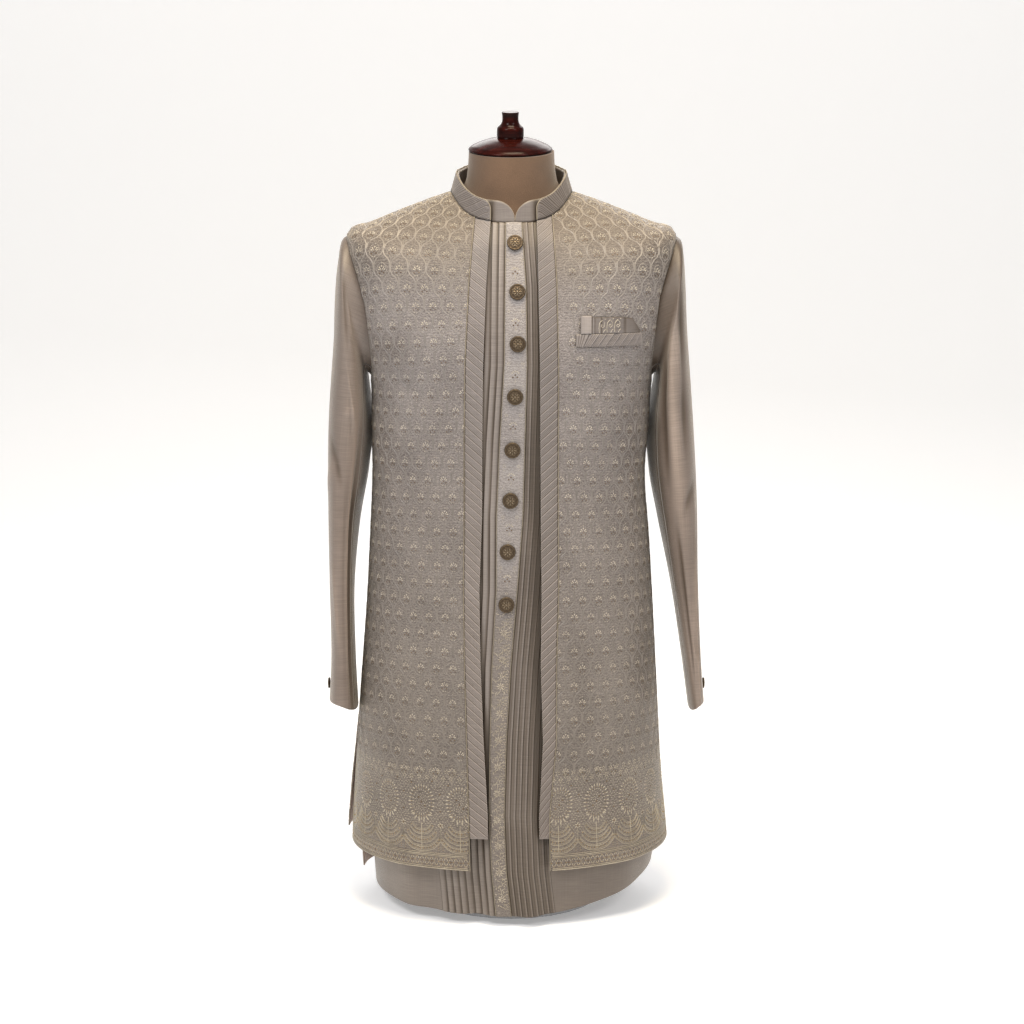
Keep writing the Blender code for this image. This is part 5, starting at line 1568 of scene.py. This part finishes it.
# %% Trees with named inputs
def new_tree(name, **kinds):
    """Empty Geometry Nodes tree, its bench and its inputs, named with the kinds they take."""
    tree = bpy.data.node_groups.new(name, "GeometryNodeTree")
    tree.interface.new_socket("Geometry", in_out="OUTPUT", socket_type="NodeSocketGeometry")
    for title, kind in kinds.items():
        tree.interface.new_socket(title.replace("_", " "), in_out="INPUT",
                                  socket_type="NodeSocket" + kind)
    bench = Bench(tree)
    return tree, bench, bench.add("NodeGroupInput").outputs


def shape_of(bench, chosen):
    """Geometry of an object that is given to a tree."""
    return bench.add("GeometryNodeObjectInfo", {"Object": chosen}).outputs["Geometry"]


def end_tree(bench, geometry, thread):
    dressed = bench.add("GeometryNodeSetMaterial", {"Geometry": geometry, "Material": thread})
    bench.add("NodeGroupOutput", {0: dressed.outputs[0]})


def made_by(name, tree, **inputs):
    """Runs a tree with named inputs on an empty mesh and keeps the result as a plain mesh."""
    host = to_object(name + "_maker", bpy.data.meshes.new(name))
    modifier = host.modifiers.new("make", "NODES")
    modifier.node_group = tree
    sockets = {item.name: item.identifier for item in tree.interface.items_tree
               if item.in_out == "INPUT"}
    for key, value in inputs.items():
        modifier[sockets[key.replace("_", " ")]] = value
    bpy.context.view_layer.update()
    seen = host.evaluated_get(bpy.context.evaluated_depsgraph_get())
    mesh = bpy.data.meshes.new_from_object(seen)
    mesh.name = name
    bpy.data.objects.remove(host)
    return to_object(name, mesh)

# %% The tree that lays motifs on a panel
def embroidery_tree():
    """Sets a motif out in half-drop rows on the flat cut and carries it to the panel."""
    tree, bench, given = new_tree(
        "embroider_panel", Panel="Object", Motif="Object", Columns="Int", Rows="Int",
        Across="Float", Up="Float", Corner="Vector", Half_drop="Float", Clear_of_hem="Float",
        Map="String", Thread="Material")
    panel, motif = shape_of(bench, given["Panel"]), shape_of(bench, given["Motif"])
    wide = bench.maths("MULTIPLY", bench.maths("SUBTRACT", given["Columns"], 1.0), given["Across"])
    tall = bench.maths("MULTIPLY", bench.maths("SUBTRACT", given["Rows"], 1.0), given["Up"])
    grid = bench.add("GeometryNodeMeshGrid", {"Size X": wide, "Size Y": tall,
                                              "Vertices X": given["Columns"],
                                              "Vertices Y": given["Rows"]}).outputs["Mesh"]
    index = bench.add("GeometryNodeInputIndex").outputs[0]
    row = bench.maths("MODULO", index, given["Rows"])
    drop = bench.maths("MULTIPLY", bench.maths("MODULO", row, 2.0),
                       bench.maths("MULTIPLY", given["Across"], given["Half drop"]))
    shift = bench.add("ShaderNodeCombineXYZ",
                      {"X": bench.maths("MULTIPLY_ADD", wide, 0.5, drop),
                       "Y": bench.maths("MULTIPLY", tall, 0.5)}).outputs[0]
    offset = bench.maths("ADD", shift, given["Corner"], kind="ShaderNodeVectorMath")
    placed = bench.add("GeometryNodeSetPosition", {"Geometry": grid, "Offset": offset}).outputs[0]
    place = bench.add("GeometryNodeInputPosition").outputs[0]
    flat = bench.add("GeometryNodeInputNamedAttribute", {"Name": given["Map"]},
                     data_type="FLOAT_VECTOR").outputs[0]

    def sample(value, kind):
        node = bench.add("GeometryNodeSampleUVSurface", {"Mesh": panel}, data_type=kind)
        tree.links.new(value, node.inputs["Value"])
        tree.links.new(flat, node.inputs["UV Map"])
        tree.links.new(place, node.inputs["Sample UV"])
        return node.outputs["Value"], node.outputs["Is Valid"]

    above = bench.add("GeometryNodeInputNamedAttribute", {"Name": "above_hem"},
                      data_type="FLOAT").outputs[0]
    height, inside = sample(above, "FLOAT")
    low = bench.add("FunctionNodeCompare", {0: height, 1: given["Clear of hem"]},
                    data_type="FLOAT", operation="LESS_THAN").outputs[0]
    in_border = bench.add("FunctionNodeBooleanMath", {0: low, 1: inside}, operation="AND").outputs[0]
    kept = bench.add("GeometryNodeDeleteGeometry", {"Geometry": placed, "Selection": in_border},
                     domain="POINT").outputs[0]
    copies = bench.add("GeometryNodeInstanceOnPoints", {"Points": kept, "Instance": motif}).outputs[0]
    real = bench.add("GeometryNodeRealizeInstances", {"Geometry": copies}).outputs[0]
    position, valid = sample(bench.add("GeometryNodeInputPosition").outputs[0], "FLOAT_VECTOR")
    normal, _ = sample(bench.add("GeometryNodeInputNormal").outputs[0], "FLOAT_VECTOR")
    outside = bench.add("FunctionNodeBooleanMath", {0: valid}, operation="NOT").outputs[0]
    trimmed = bench.add("GeometryNodeDeleteGeometry", {"Geometry": real, "Selection": outside},
                        domain="POINT").outputs[0]
    lift = bench.add("ShaderNodeSeparateXYZ", {"Vector": place}).outputs["Z"]
    raised = bench.maths("ADD", position, bench.add(
        "ShaderNodeVectorMath", {0: normal, "Scale": lift}, operation="SCALE").outputs[0],
        kind="ShaderNodeVectorMath")
    laid = bench.add("GeometryNodeSetPosition", {"Geometry": trimmed, "Position": raised}).outputs[0]
    end_tree(bench, laid, given["Thread"])
    return tree


EMBROIDER = embroidery_tree()
print("embroidery tree:", len(EMBROIDER.nodes), "nodes")

# %% Running the embroidery tree
embroidery = {}                      # panel's name -> the pieces of thread on it


def embroider(name, panel, motif, thread, columns, rows, across, up, corner, half_drop=0.5,
              clear_of_hem=0.0, layer="cut", slot="embroidered_silk"):
    piece = made_by(name, EMBROIDER, Panel=panel, Motif=motif, Columns=columns, Rows=rows,
                    Across=across * MM, Up=up * MM, Corner=(corner[0] * MM, corner[1] * MM, 0.0),
                    Half_drop=half_drop, Clear_of_hem=clear_of_hem * MM, Map=layer, Thread=thread)
    piece.data.shade_flat()
    belongs(piece, slot)
    embroidery.setdefault(panel.name, []).append(piece)
    print(f"{name}: {len(piece.data.polygons)} faces")

# %% Thread finishes
def thread_finish(name, base, shade, roughness=0.42, metallic=0.0, light_tints=None):
    material, bench, shader = new_finish(name, base, roughness, sheen_weight=0.3,
                                         sheen_roughness=0.3, metallic=metallic,
                                         specular_ior_level=0.6)
    local = bench.place()
    patches = noise(bench, local, 3.0, 0.6, 55.0)
    twist = noise(bench, local, 1.0, 0.5, 2600.0)
    tone = ramp(bench, bench.maths("MULTIPLY_ADD", twist, 0.5, bench.maths("MULTIPLY", patches, 0.5)),
                ((0.32, shade), (0.62, base)))
    bench.finish(shader, Base_Color=paint_light_by_height(bench, tone, light_tints),
                 Normal=bench.bump(twist, 0.3, 0.0001),
                 Roughness=bench.spread(patches, roughness - 0.06, roughness + 0.08))
    return material


# The thread tints by height paint the light: darker low down, lighter up the chest, and warmer at the
# shoulders where the overhead lamp falls.
CREAM = thread_finish("cream_thread", colour(194, 186, 173), colour(138, 130, 118),
                      light_tints=((0.10, (0.90, 0.87, 0.82)), (0.50, (0.94, 0.92, 0.90)),
                             (0.75, (1.0, 1.0, 1.0)), (0.95, (1.04, 1.01, 0.93))))
WARM_CREAM = thread_finish("warm_cream_thread", colour(186, 176, 157), colour(136, 126, 110))
PALE = thread_finish("pale_lattice_thread", colour(146, 140, 136), colour(126, 120, 116),
                     light_tints=((0.10, (0.72, 0.68, 0.62)), (0.62, (0.76, 0.75, 0.74)),
                            (0.76, (0.84, 0.84, 0.84)), (0.845, (0.94, 0.93, 0.92)),
                            (0.885, (1.08, 1.05, 0.98)), (1.0, (1.10, 1.02, 0.84))))
GOLDEN = thread_finish("gold_thread", colour(168, 144, 102), colour(112, 92, 62), 0.34, 0.25)
SEQUIN = thread_finish("dark_sequin", colour(120, 98, 74), colour(62, 47, 35), 0.3, 0.4)
PIPING = thread_finish("pale_piping", colour(152, 142, 124), colour(120, 109, 91))
print("threads made")

# %% The small motif of the field
BUTI_ACROSS, BUTI_UP = 23.0, 23.0    # pitch across and from row to row, millimetres
FIELD_CLEAR = 128.0                  # the field starts this far above the hem


def buti_threads():
    """Petals fanned over the sequins, with two leaves below and a dash above."""
    motif = Motif()
    for turn, reach in ((14, 3.9), (50, 4.3), (90, 4.9), (130, 4.3), (166, 3.9)):
        a = math.radians(turn)
        motif.seed(reach * math.cos(a), 0.4 + reach * math.sin(a), 3.3, 2.1, turn, 0.7)
    for side in (-1, 1):
        motif.seed(side * 1.5, 2.0, 2.4, 1.6, 90 - side * 20, 0.6)
        motif.seed(side * 1.9, -6.2, 3.4, 1.4, 90 - side * 42, 0.5)
    motif.seed(0, 9.0, 2.4, 1.0, 90, 0.4)
    return motif.build("buti_threads")


def buti_stem():
    """Faint stem and the small crossing marks that fill the corners of each ogee."""
    motif = Motif()
    motif.rib(((0, -7.0), (0, -15.0)), 0.9, 0.35)
    turn = np.radians(np.linspace(-90, 270, 9))
    motif.rib(np.stack((6.6 * np.cos(turn), 0.6 + (8.2 + 1.2 * np.sin(turn)) * np.sin(turn)), 1),
              1.0, 0.45)
    for side in (-1, 1):
        motif.seed(side * 6.6, -4.6, 3.2, 1.0, 90 + side * 30, 0.4)
        motif.seed(side * 4.6, -9.6, 3.2, 1.0, 90 - side * 30, 0.4)
        motif.seed(side * 2.9, 12.4, 2.8, 1.0, 90 + side * 35, 0.4)
    return motif.build("buti_stem")


def buti_sequins():
    motif = Motif()
    for x, y in ((0.3, -0.6), (-2.8, -2.9), (3.1, -2.5)):
        motif.sequin(x, y, 1.0, 0.5, sides=4)
    return motif.build("buti_sequins")


def ogee():
    """Two wavy threads that close round each motif, meeting those of the next rows."""
    motif = Motif()
    up = np.linspace(0, 1, 11)
    wide = 10.8 * np.sin(np.pi * up + 0.2 * (np.cos(4 * np.pi * up) - 1)) ** 2   # rounder above
    for side in (-1, 1):
        motif.rib(np.stack((side * wide, (2 * up - 1) * BUTI_UP), 1)[::side], 1.3, 0.34)
    return motif.build("ogee_threads")


field_motifs = (("field_threads", buti_threads(), CREAM), ("field_sequins", buti_sequins(), SEQUIN),
                ("field_ogees", ogee(), PALE), ("field_stems", buti_stem(), PALE))

# %% Embroidering the field of the fronts and back
FRONT_COLUMNS, FRONT_ROWS, FRONT_START = 15, 44, (9.5, 18.0)
BACK_COLUMNS, BACK_ROWS, BACK_START = 31, 46, -40.0
field_panels = (
    ("right", over_fronts[RIGHT], FRONT_COLUMNS, FRONT_ROWS,
     (FRONT_START[0] - BUTI_ACROSS * (FRONT_COLUMNS - 1), FRONT_START[1])),
    ("left", over_fronts[LEFT], FRONT_COLUMNS, FRONT_ROWS, FRONT_START),
    ("back", over_back, BACK_COLUMNS, BACK_ROWS, (-(BACK_COLUMNS // 2) * BUTI_ACROSS, BACK_START)))
for word, panel, columns, rows, corner in field_panels:
    for name, motif, thread in field_motifs:
        embroider(f"{name}_{word}", panel, motif, thread, columns, rows, BUTI_ACROSS, BUTI_UP,
                  corner, clear_of_hem=FIELD_CLEAR)

# %% [markdown]
# ## Hem border
# A deep border closes the embroidery: a narrow band of small flowers between two cords, a
# row of garlands hung from flower to flower, and an oval medallion over each garland. It
# follows the curve of the hem, so its map measures along the hem and up from it. One repeat
# holds the whole depth of the border, which keeps its lines unbroken from end to end.

# %% Border motif
BORDER_PITCH, MEDALLION_Z, CROSS_Z, CROSSES = 54.0, 89.0, 10.4, 8


def garland(bottom, half, sag, count=17):
    x = np.linspace(-half, half, count)
    return np.stack((x, bottom + sag * abs(x / half) ** 2.6), 1)


def cross_places():
    return [BORDER_PITCH * (k - (CROSSES - 1) / 2) / CROSSES for k in range(CROSSES)]


def border_threads():
    """Cords, crosses, garlands, stalks and the running stitches that fill between them."""
    motif = Motif()
    line = np.linspace(-BORDER_PITCH / 2, BORDER_PITCH / 2, 13)
    for height, width in ((1.2, 1.4), (3.2, 0.8), (17.4, 0.8), (19.2, 1.2), (21.4, 0.7)):
        motif.rib(np.stack((line, 0 * line + height), 1), width, 0.7)
    for x in cross_places():                       # crossed stitches between the cords
        for way in (-1, 1):
            motif.seed(x + 1.7, CROSS_Z + way * 3.2, 6.4, 1.2, way * 62, 0.55)
            motif.seed(x - 1.7, CROSS_Z + way * 3.2, 6.4, 1.2, -way * 62, 0.55)
    for k in range(6):
        for shift, width in ((0.0, 1.0), (1.8, 0.6)):
            motif.rib(garland(23.0 + 5.6 * k + shift, 27.0 - 2.6 * k, 14.0 - 1.1 * k), width, 0.55)
    motif.rib(((0, 25), (0, 33), (0, 42), (0, 51), (0, 61)), 1.2, 0.65)
    for end in (-1, 1):
        x = end * BORDER_PITCH / 2
        motif.rib(((x, 37), (x, 46), (x, 55)), 1.0, 0.5)
    motif.flower(BORDER_PITCH / 2, 59, 6, 4.6, 1.8, 0.7)
    for row, y in enumerate(np.arange(24.0, 130.0, 3.3)):        # running stitches fill the rest
        for k in range(12):
            x = -27 + (k + 0.25 + 0.5 * (row % 2)) * BORDER_PITCH / 12
            clear = math.hypot(x / 21.5, (y - MEDALLION_Z) / 26.5)
            hung = y - 23 - 14 * abs(x / 27) ** 2.6
            if clear > 1 and (y > 58 - 14 * abs(x / 27) ** 2 or 1.5 < hung < 7.5):
                motif.seed(x, y + 0.9 * math.sin(1.3 * k + row), 3.4, 1.0,
                           24 * math.cos(1.3 * k + row), 0.42)
    return motif

# %% Medallion, grains and sequins of the border
def medallion(motif, wide, tall, count, length, width, height):
    """Oval ring of short radiating stitches."""
    for k in range(count):
        a = 2 * math.pi * k / count
        turn = math.degrees(math.atan2(math.sin(a) / tall, math.cos(a) / wide))
        motif.seed(wide * math.cos(a), MEDALLION_Z + tall * math.sin(a), length, width, turn,
                   height)


def border_rings():
    """The border's threads with the medallion: two rings, a sown heart and a spray below."""
    motif = border_threads()
    medallion(motif, 17.6, 22.4, 28, 5.6, 2.1, 0.75)
    medallion(motif, 12.2, 16.6, 24, 3.2, 1.5, 0.75)
    chance = np.random.default_rng(17)
    golden_turn = 2.39996                          # spreads grains evenly, as in a seed head
    for turn, reach in zip(np.arange(44) * golden_turn, np.sqrt(np.linspace(0.02, 1, 44))):
        motif.seed(9.2 * reach * math.cos(turn), MEDALLION_Z + 13.0 * reach * math.sin(turn),
                   2.2, 1.3, chance.uniform(0, 180), 0.6)
    for turn in (200, 228, 256, 284, 312, 340):
        a = math.radians(turn)
        motif.seed(13.5 * math.cos(a), 77 + 13.5 * math.sin(a), 7.0, 2.6, turn, 0.9)
    return motif.build("border_threads")


def border_seeds():
    """Gold grains between the garlands and dots round the medallion."""
    motif = Motif()
    for k in range(3):
        for x, y in garland(26.6 + 11.2 * k, 25.5 - 5.2 * k, 13.2 - 2.2 * k, 14 - 3 * k):
            motif.seed(x, y, 2.8, 1.8, 60 if k % 2 else 120, 0.75)
    medallion(motif, 14.8, 19.6, 24, 1.9, 1.5, 0.6)
    for x in cross_places():
        motif.seed(x, CROSS_Z, 2.6, 2.0, 90, 0.75)
        for y in (5.6, 15.2):
            motif.seed(x + BORDER_PITCH / 16, y, 2.2, 1.7, 0, 0.65)
    for end in (-1, 1):
        for step in range(5):
            motif.seed(end * (BORDER_PITCH / 2 - 3.2), 26 + 3.2 * step, 2.0, 1.4, 90, 0.6)
    return motif.build("border_seeds")


def border_sequins():
    motif = Motif()
    for x, y in ((27, 59), (0, 89), (4, 95), (-5, 84), (-27, 78), (27, 101), (-16, 118), (15, 114)):
        motif.sequin(x, y, 1.3, 0.6)
    for k in range(4):
        motif.sequin(BORDER_PITCH * (k - 1.0) / 4, CROSS_Z, 1.1, 0.6)
    return motif.build("border_sequins")


border_motifs = (("border_threads", border_rings(), WARM_CREAM),
                 ("border_seeds", border_seeds(), GOLDEN),
                 ("border_sequins", border_sequins(), SEQUIN))

# %% Embroidering the hems
FRONT_BORDER_START = 12.0 - BORDER_PITCH           # the first flower's place from the front edge
BACK_REPEATS = 12
BACK_BORDER_START = 303.5 - BACK_REPEATS / 2 * BORDER_PITCH    # centred on the 607 mm hem
for word, panel, first, count in (("right", over_fronts[RIGHT], FRONT_BORDER_START, 6),
                                  ("left", over_fronts[LEFT], FRONT_BORDER_START, 6),
                                  ("back", over_back, BACK_BORDER_START, BACK_REPEATS)):
    for name, motif, thread in border_motifs:
        embroider(f"{name}_{word}", panel, motif, thread, count, 1, BORDER_PITCH, 1.0, (first, 0.0),
                  half_drop=0.0, layer="hem")


def sprig():
    """Small filler flower sown thickly over the border."""
    motif = Motif()
    motif.flower(0, 0, 5, 3.6, 1.5, 0.55)
    motif.seed(0, -4.4, 3.0, 0.9, 90, 0.4)
    return motif.build("sprig_threads")


SPRIG, SPRIG_ACROSS, SPRIG_UP, SPRIG_Z = sprig(), 11.5, 9.5, 123.0
for word, panel, count in (("right", over_fronts[RIGHT], 20), ("left", over_fronts[LEFT], 20),
                           ("back", over_back, 53)):
    embroider(f"sprigs_{word}", panel, SPRIG, WARM_CREAM, count, 2, SPRIG_ACROSS, SPRIG_UP,
              (0.0, SPRIG_Z), layer="hem")

# %% [markdown]
# ## Placket and pocket square embroidery
# The placket carries a small flower between two buttons with a pair of leaves above it, and
# below the last button a thick scatter of curls. Its map runs along the middle of the strip.
# The pocket square shows three curls of gold thread on its middle fold.

# %% Placket motifs
BUTTON_PITCH, PLACKET_FLOWERS_FROM = 67.4, 457.0
CURLS_FROM, CURL_PITCH, ROSETTES_FROM, ROSETTE_PITCH = 10.0, 17.5, 24.0, 36.0
strip = grids["placket_strip"]
centre = strip.shape[1] // 2
middle = strip[:, centre]
along = np.concatenate(((0,), np.cumsum(np.linalg.norm(np.diff(middle, axis=0), axis=1))))
across = np.linalg.norm(strip - middle[:, None], axis=2) * np.sign(
    np.arange(strip.shape[1]) - centre)
vertex_map(placket, "strip", np.stack((across, along[:, None] + 0 * across), -1).reshape(-1, 2))


def placket_sequins():
    motif = Motif()
    for x, y in ((0, -1.5), (-2.9, -4.4), (2.9, -4.4)):
        motif.sequin(x, y, 1.1, 0.5)
    return motif.build("placket_sequins")


def placket_flower():
    """Fan of petals on a stalk, with a small flower, a leaf and a bud on either side."""
    motif = Motif()
    for turn in (30, 60, 90, 120, 150):
        a = math.radians(turn)
        motif.seed(4.6 * math.cos(a), -1.5 + 4.8 * math.sin(a), 4.0, 1.9, turn, 0.7)
    motif.rib(((0, -6.5), (0.4, -9), (0, -12)), 0.8, 0.4)
    for end in (-1, 1):
        motif.flower(end * 9.2, 13.0, 5, 3.0, 1.3, 0.6)
        motif.seed(end * 9.6, 7.6, 3.4, 1.2, 90 + end * 25, 0.5)
        motif.seed(end * 11.0, -16.0, 3.2, 1.2, 90 - end * 20, 0.5)
    motif.flower(0, -21.0, 5, 2.6, 1.1, 0.5)
    return motif.build("placket_threads")


def placket_curls(curls=13, grains=6):
    """Short curls and grains lying every way, over one pitch of the strip."""
    motif, chance = Motif(), np.random.default_rng(5)
    for k in range(curls):
        x, y = chance.uniform(-11.5, 11.5), (k + chance.uniform(0, 1)) * CURL_PITCH / curls
        start, bend = chance.uniform(0, 2 * np.pi), chance.uniform(1.6, 3.6)
        turn, reach = start + np.linspace(0, bend, 5), chance.uniform(1.3, 2.4)
        motif.rib(np.stack((x + reach * np.cos(turn), y + reach * np.sin(turn)), 1), 0.85, 0.45)
    for _ in range(grains):
        motif.seed(*chance.uniform((-12, 0), (12, CURL_PITCH)), 2.4, 1.2, chance.uniform(0, 180),
                   0.5)
    return motif.build("placket_curls")


def placket_rosette():
    """Round flower with a leaf on either side and a sprig over it."""
    motif = Motif()
    motif.flower(0, 0, 8, 6.0, 2.0, 0.75)
    motif.flower(0, 0, 5, 2.6, 1.3, 0.85, first=54.0)
    for end in (-1, 1):
        motif.seed(end * 7.2, 6.5, 5.0, 1.7, 90 - end * 38, 0.65)
        motif.seed(end * 5.6, -9.0, 4.4, 1.5, 90 + end * 30, 0.6)
    motif.rib(((0, 6.0), (0.8, 9.5), (0, 13.0), (-1.2, 16.0)), 1.0, 0.5)
    for x, y, turn in ((2.6, 13.0, 40), (-3.2, 12.0, 140), (0.8, 18.0, 80)):
        motif.seed(x, y, 3.6, 1.4, turn, 0.6)
    return motif.build("placket_rosettes")

# %% Embroidering the placket and the pocket square
for name, motif, thread, first, pitch, count in (
        ("placket_threads", placket_flower(), CREAM, PLACKET_FLOWERS_FROM, BUTTON_PITCH, 7),
        ("placket_sequins", placket_sequins(), SEQUIN, PLACKET_FLOWERS_FROM, BUTTON_PITCH, 7),
        ("placket_rosettes", placket_rosette(), CREAM, ROSETTES_FROM, ROSETTE_PITCH, 11),
        ("placket_curls", placket_curls(), WARM_CREAM, CURLS_FROM, CURL_PITCH, 23)):
    embroider(name, placket, motif, thread, 1, count, 1.0, pitch, (0.0, first), half_drop=0.0,
              layer="strip")


def square_curl():
    motif = Motif()
    motif.rib(((-4.2, -9), (-4.6, -3), (-3.6, 3.5), (0, 7), (3.4, 4.0), (3.2, -0.5), (0.6, -3.0),
               (-1.4, -1.0), (-0.6, 1.6)), 1.2, 0.6)
    motif.rib(((1.0, -9.5), (2.6, -6.5), (4.6, -5.0)), 1.0, 0.5)
    motif.seed(0.8, 0.6, 2.4, 1.6, 60, 0.7)
    motif.seed(4.6, 8.2, 3.0, 1.3, 30, 0.6)
    return motif.build("square_curl")


SQUARE_CURLS, SQUARE_CURL_PITCH, SQUARE_CURLS_FROM = 3, 11.0, (31.0, 10.5)
embroider("square_curls", square, square_curl(), CREAM, SQUARE_CURLS, 1, SQUARE_CURL_PITCH, 1.0,
          SQUARE_CURLS_FROM, half_drop=0.0, slot="silk")

# %% [markdown]
# ## Piping
# A thin cord covered in pale silk is caught in the seams beside the bands, along the placket
# and round the tops of both collars. It is a tube that follows the edge of the panel, made
# with a Geometry Nodes tree from the panel's own row of edge points.

# %% Cord along a path
def cord_tree():
    """Sweeps a ring along a path of vertices and closes the tube's ends."""
    tree, bench, given = new_tree("cord_along_path", Path="Object", Radius="Float", Sides="Int",
                                  Thread="Material")
    line = bench.add("GeometryNodeMeshToCurve", {"Mesh": shape_of(bench, given["Path"])}).outputs[0]
    ring = bench.add("GeometryNodeCurvePrimitiveCircle", {"Resolution": given["Sides"],
                                                          "Radius": given["Radius"]}).outputs[0]
    tube = bench.add("GeometryNodeCurveToMesh", {"Curve": line, "Profile Curve": ring,
                                                 "Fill Caps": True}).outputs["Mesh"]
    real = bench.add("GeometryNodeRealizeInstances", {"Geometry": tube}).outputs[0]
    end_tree(bench, real, given["Thread"])
    return tree


CORD, CORD_SIDES = cord_tree(), 6


def edge_outward(points):
    return unit(np.cross(np.gradient(points, axis=1), np.gradient(points, axis=0)))


def cord(name, panel, path, radius):
    mesh = bpy.data.meshes.new(name + "_path")
    mesh.from_pydata(path.tolist(), [(k, k + 1) for k in range(len(path) - 1)], [])
    motifs.append(to_object(name + "_path", mesh))
    piece = made_by(name, CORD, Path=motifs[-1], Radius=radius, Sides=CORD_SIDES, Thread=PIPING)
    piece.data.shade_smooth()
    belongs(piece, "embroidered_silk")
    embroidery.setdefault(panel.name, []).append(piece)
    length = np.linalg.norm(np.diff(path, axis=0), axis=1).sum()
    print(f"{name}: {length / MM:.0f} mm long, {2 * radius / MM:.1f} mm across")

# %% Piping the edges
# For each cord: its radius, and how far its middle lies outside the panel's face, millimetres.
for side in (RIGHT, LEFT):
    word, front = WORD[side], -1 if side == RIGHT else 0
    for kind, panel, radius, lift in (("front", over_fronts[side], 0.5, 0.15),
                                      ("collar", tucked_collars[side], 0.65, -0.5),
                                      ("under_collar", plain_collars[side], 0.45, -0.4)):
        points = grids[panel.name]
        points = points + edge_outward(points) * lift * MM
        if kind == "front":
            path = points[:, front]
        else:
            top = points[-1][::-1] if side == RIGHT else points[-1]
            path = np.concatenate((points[:-1, front], top)) if kind == "collar" else top
        cord(f"{kind}_piping_{word}", panel, path, radius * MM)
    points = strip + edge_outward(strip) * 0.1 * MM
    cord(f"placket_piping_{word}", placket, points[:, 0 if side == RIGHT else -1], 0.35 * MM)
print("cords:", sum("piping" in piece.name for kept in embroidery.values() for piece in kept))

# %% Clearing the flat motifs away
for motif in motifs:
    bpy.data.objects.remove(motif)
print("motifs laid out:", len(motifs))

# %% [markdown]
# ## Giving the cloth its thickness
# Every open panel now gets its lined thickness, inwards, so that the outer faces stay where
# the embroidery was laid on them.

# %% Thickness and sheets
for sheet in sheets:
    piece = sheet.piece
    wall = piece.modifiers.new("lining", "SOLIDIFY")
    wall.thickness, wall.offset = sheet.thick, -1.0
    wall.use_even_offset = False
    if piece in (under_back, over_back):             # their linings show past the side slits, painted lighter there
        piece.data.materials.append(LINING_PAINTED_LIT)
        wall.material_offset = 1
print("sheets:", len(sheets))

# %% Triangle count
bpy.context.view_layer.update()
seen = bpy.context.evaluated_depsgraph_get()


def triangles(thing):
    finished = thing.evaluated_get(seen)
    count = sum(len(face.vertices) - 2 for face in finished.to_mesh().polygons)
    finished.to_mesh_clear()
    return count


counts = sorted(((triangles(thing), thing.name) for thing in bpy.data.objects
                 if thing.type == "MESH"), reverse=True)
print("triangles:", sum(count for count, _ in counts), "largest:", counts[:4])
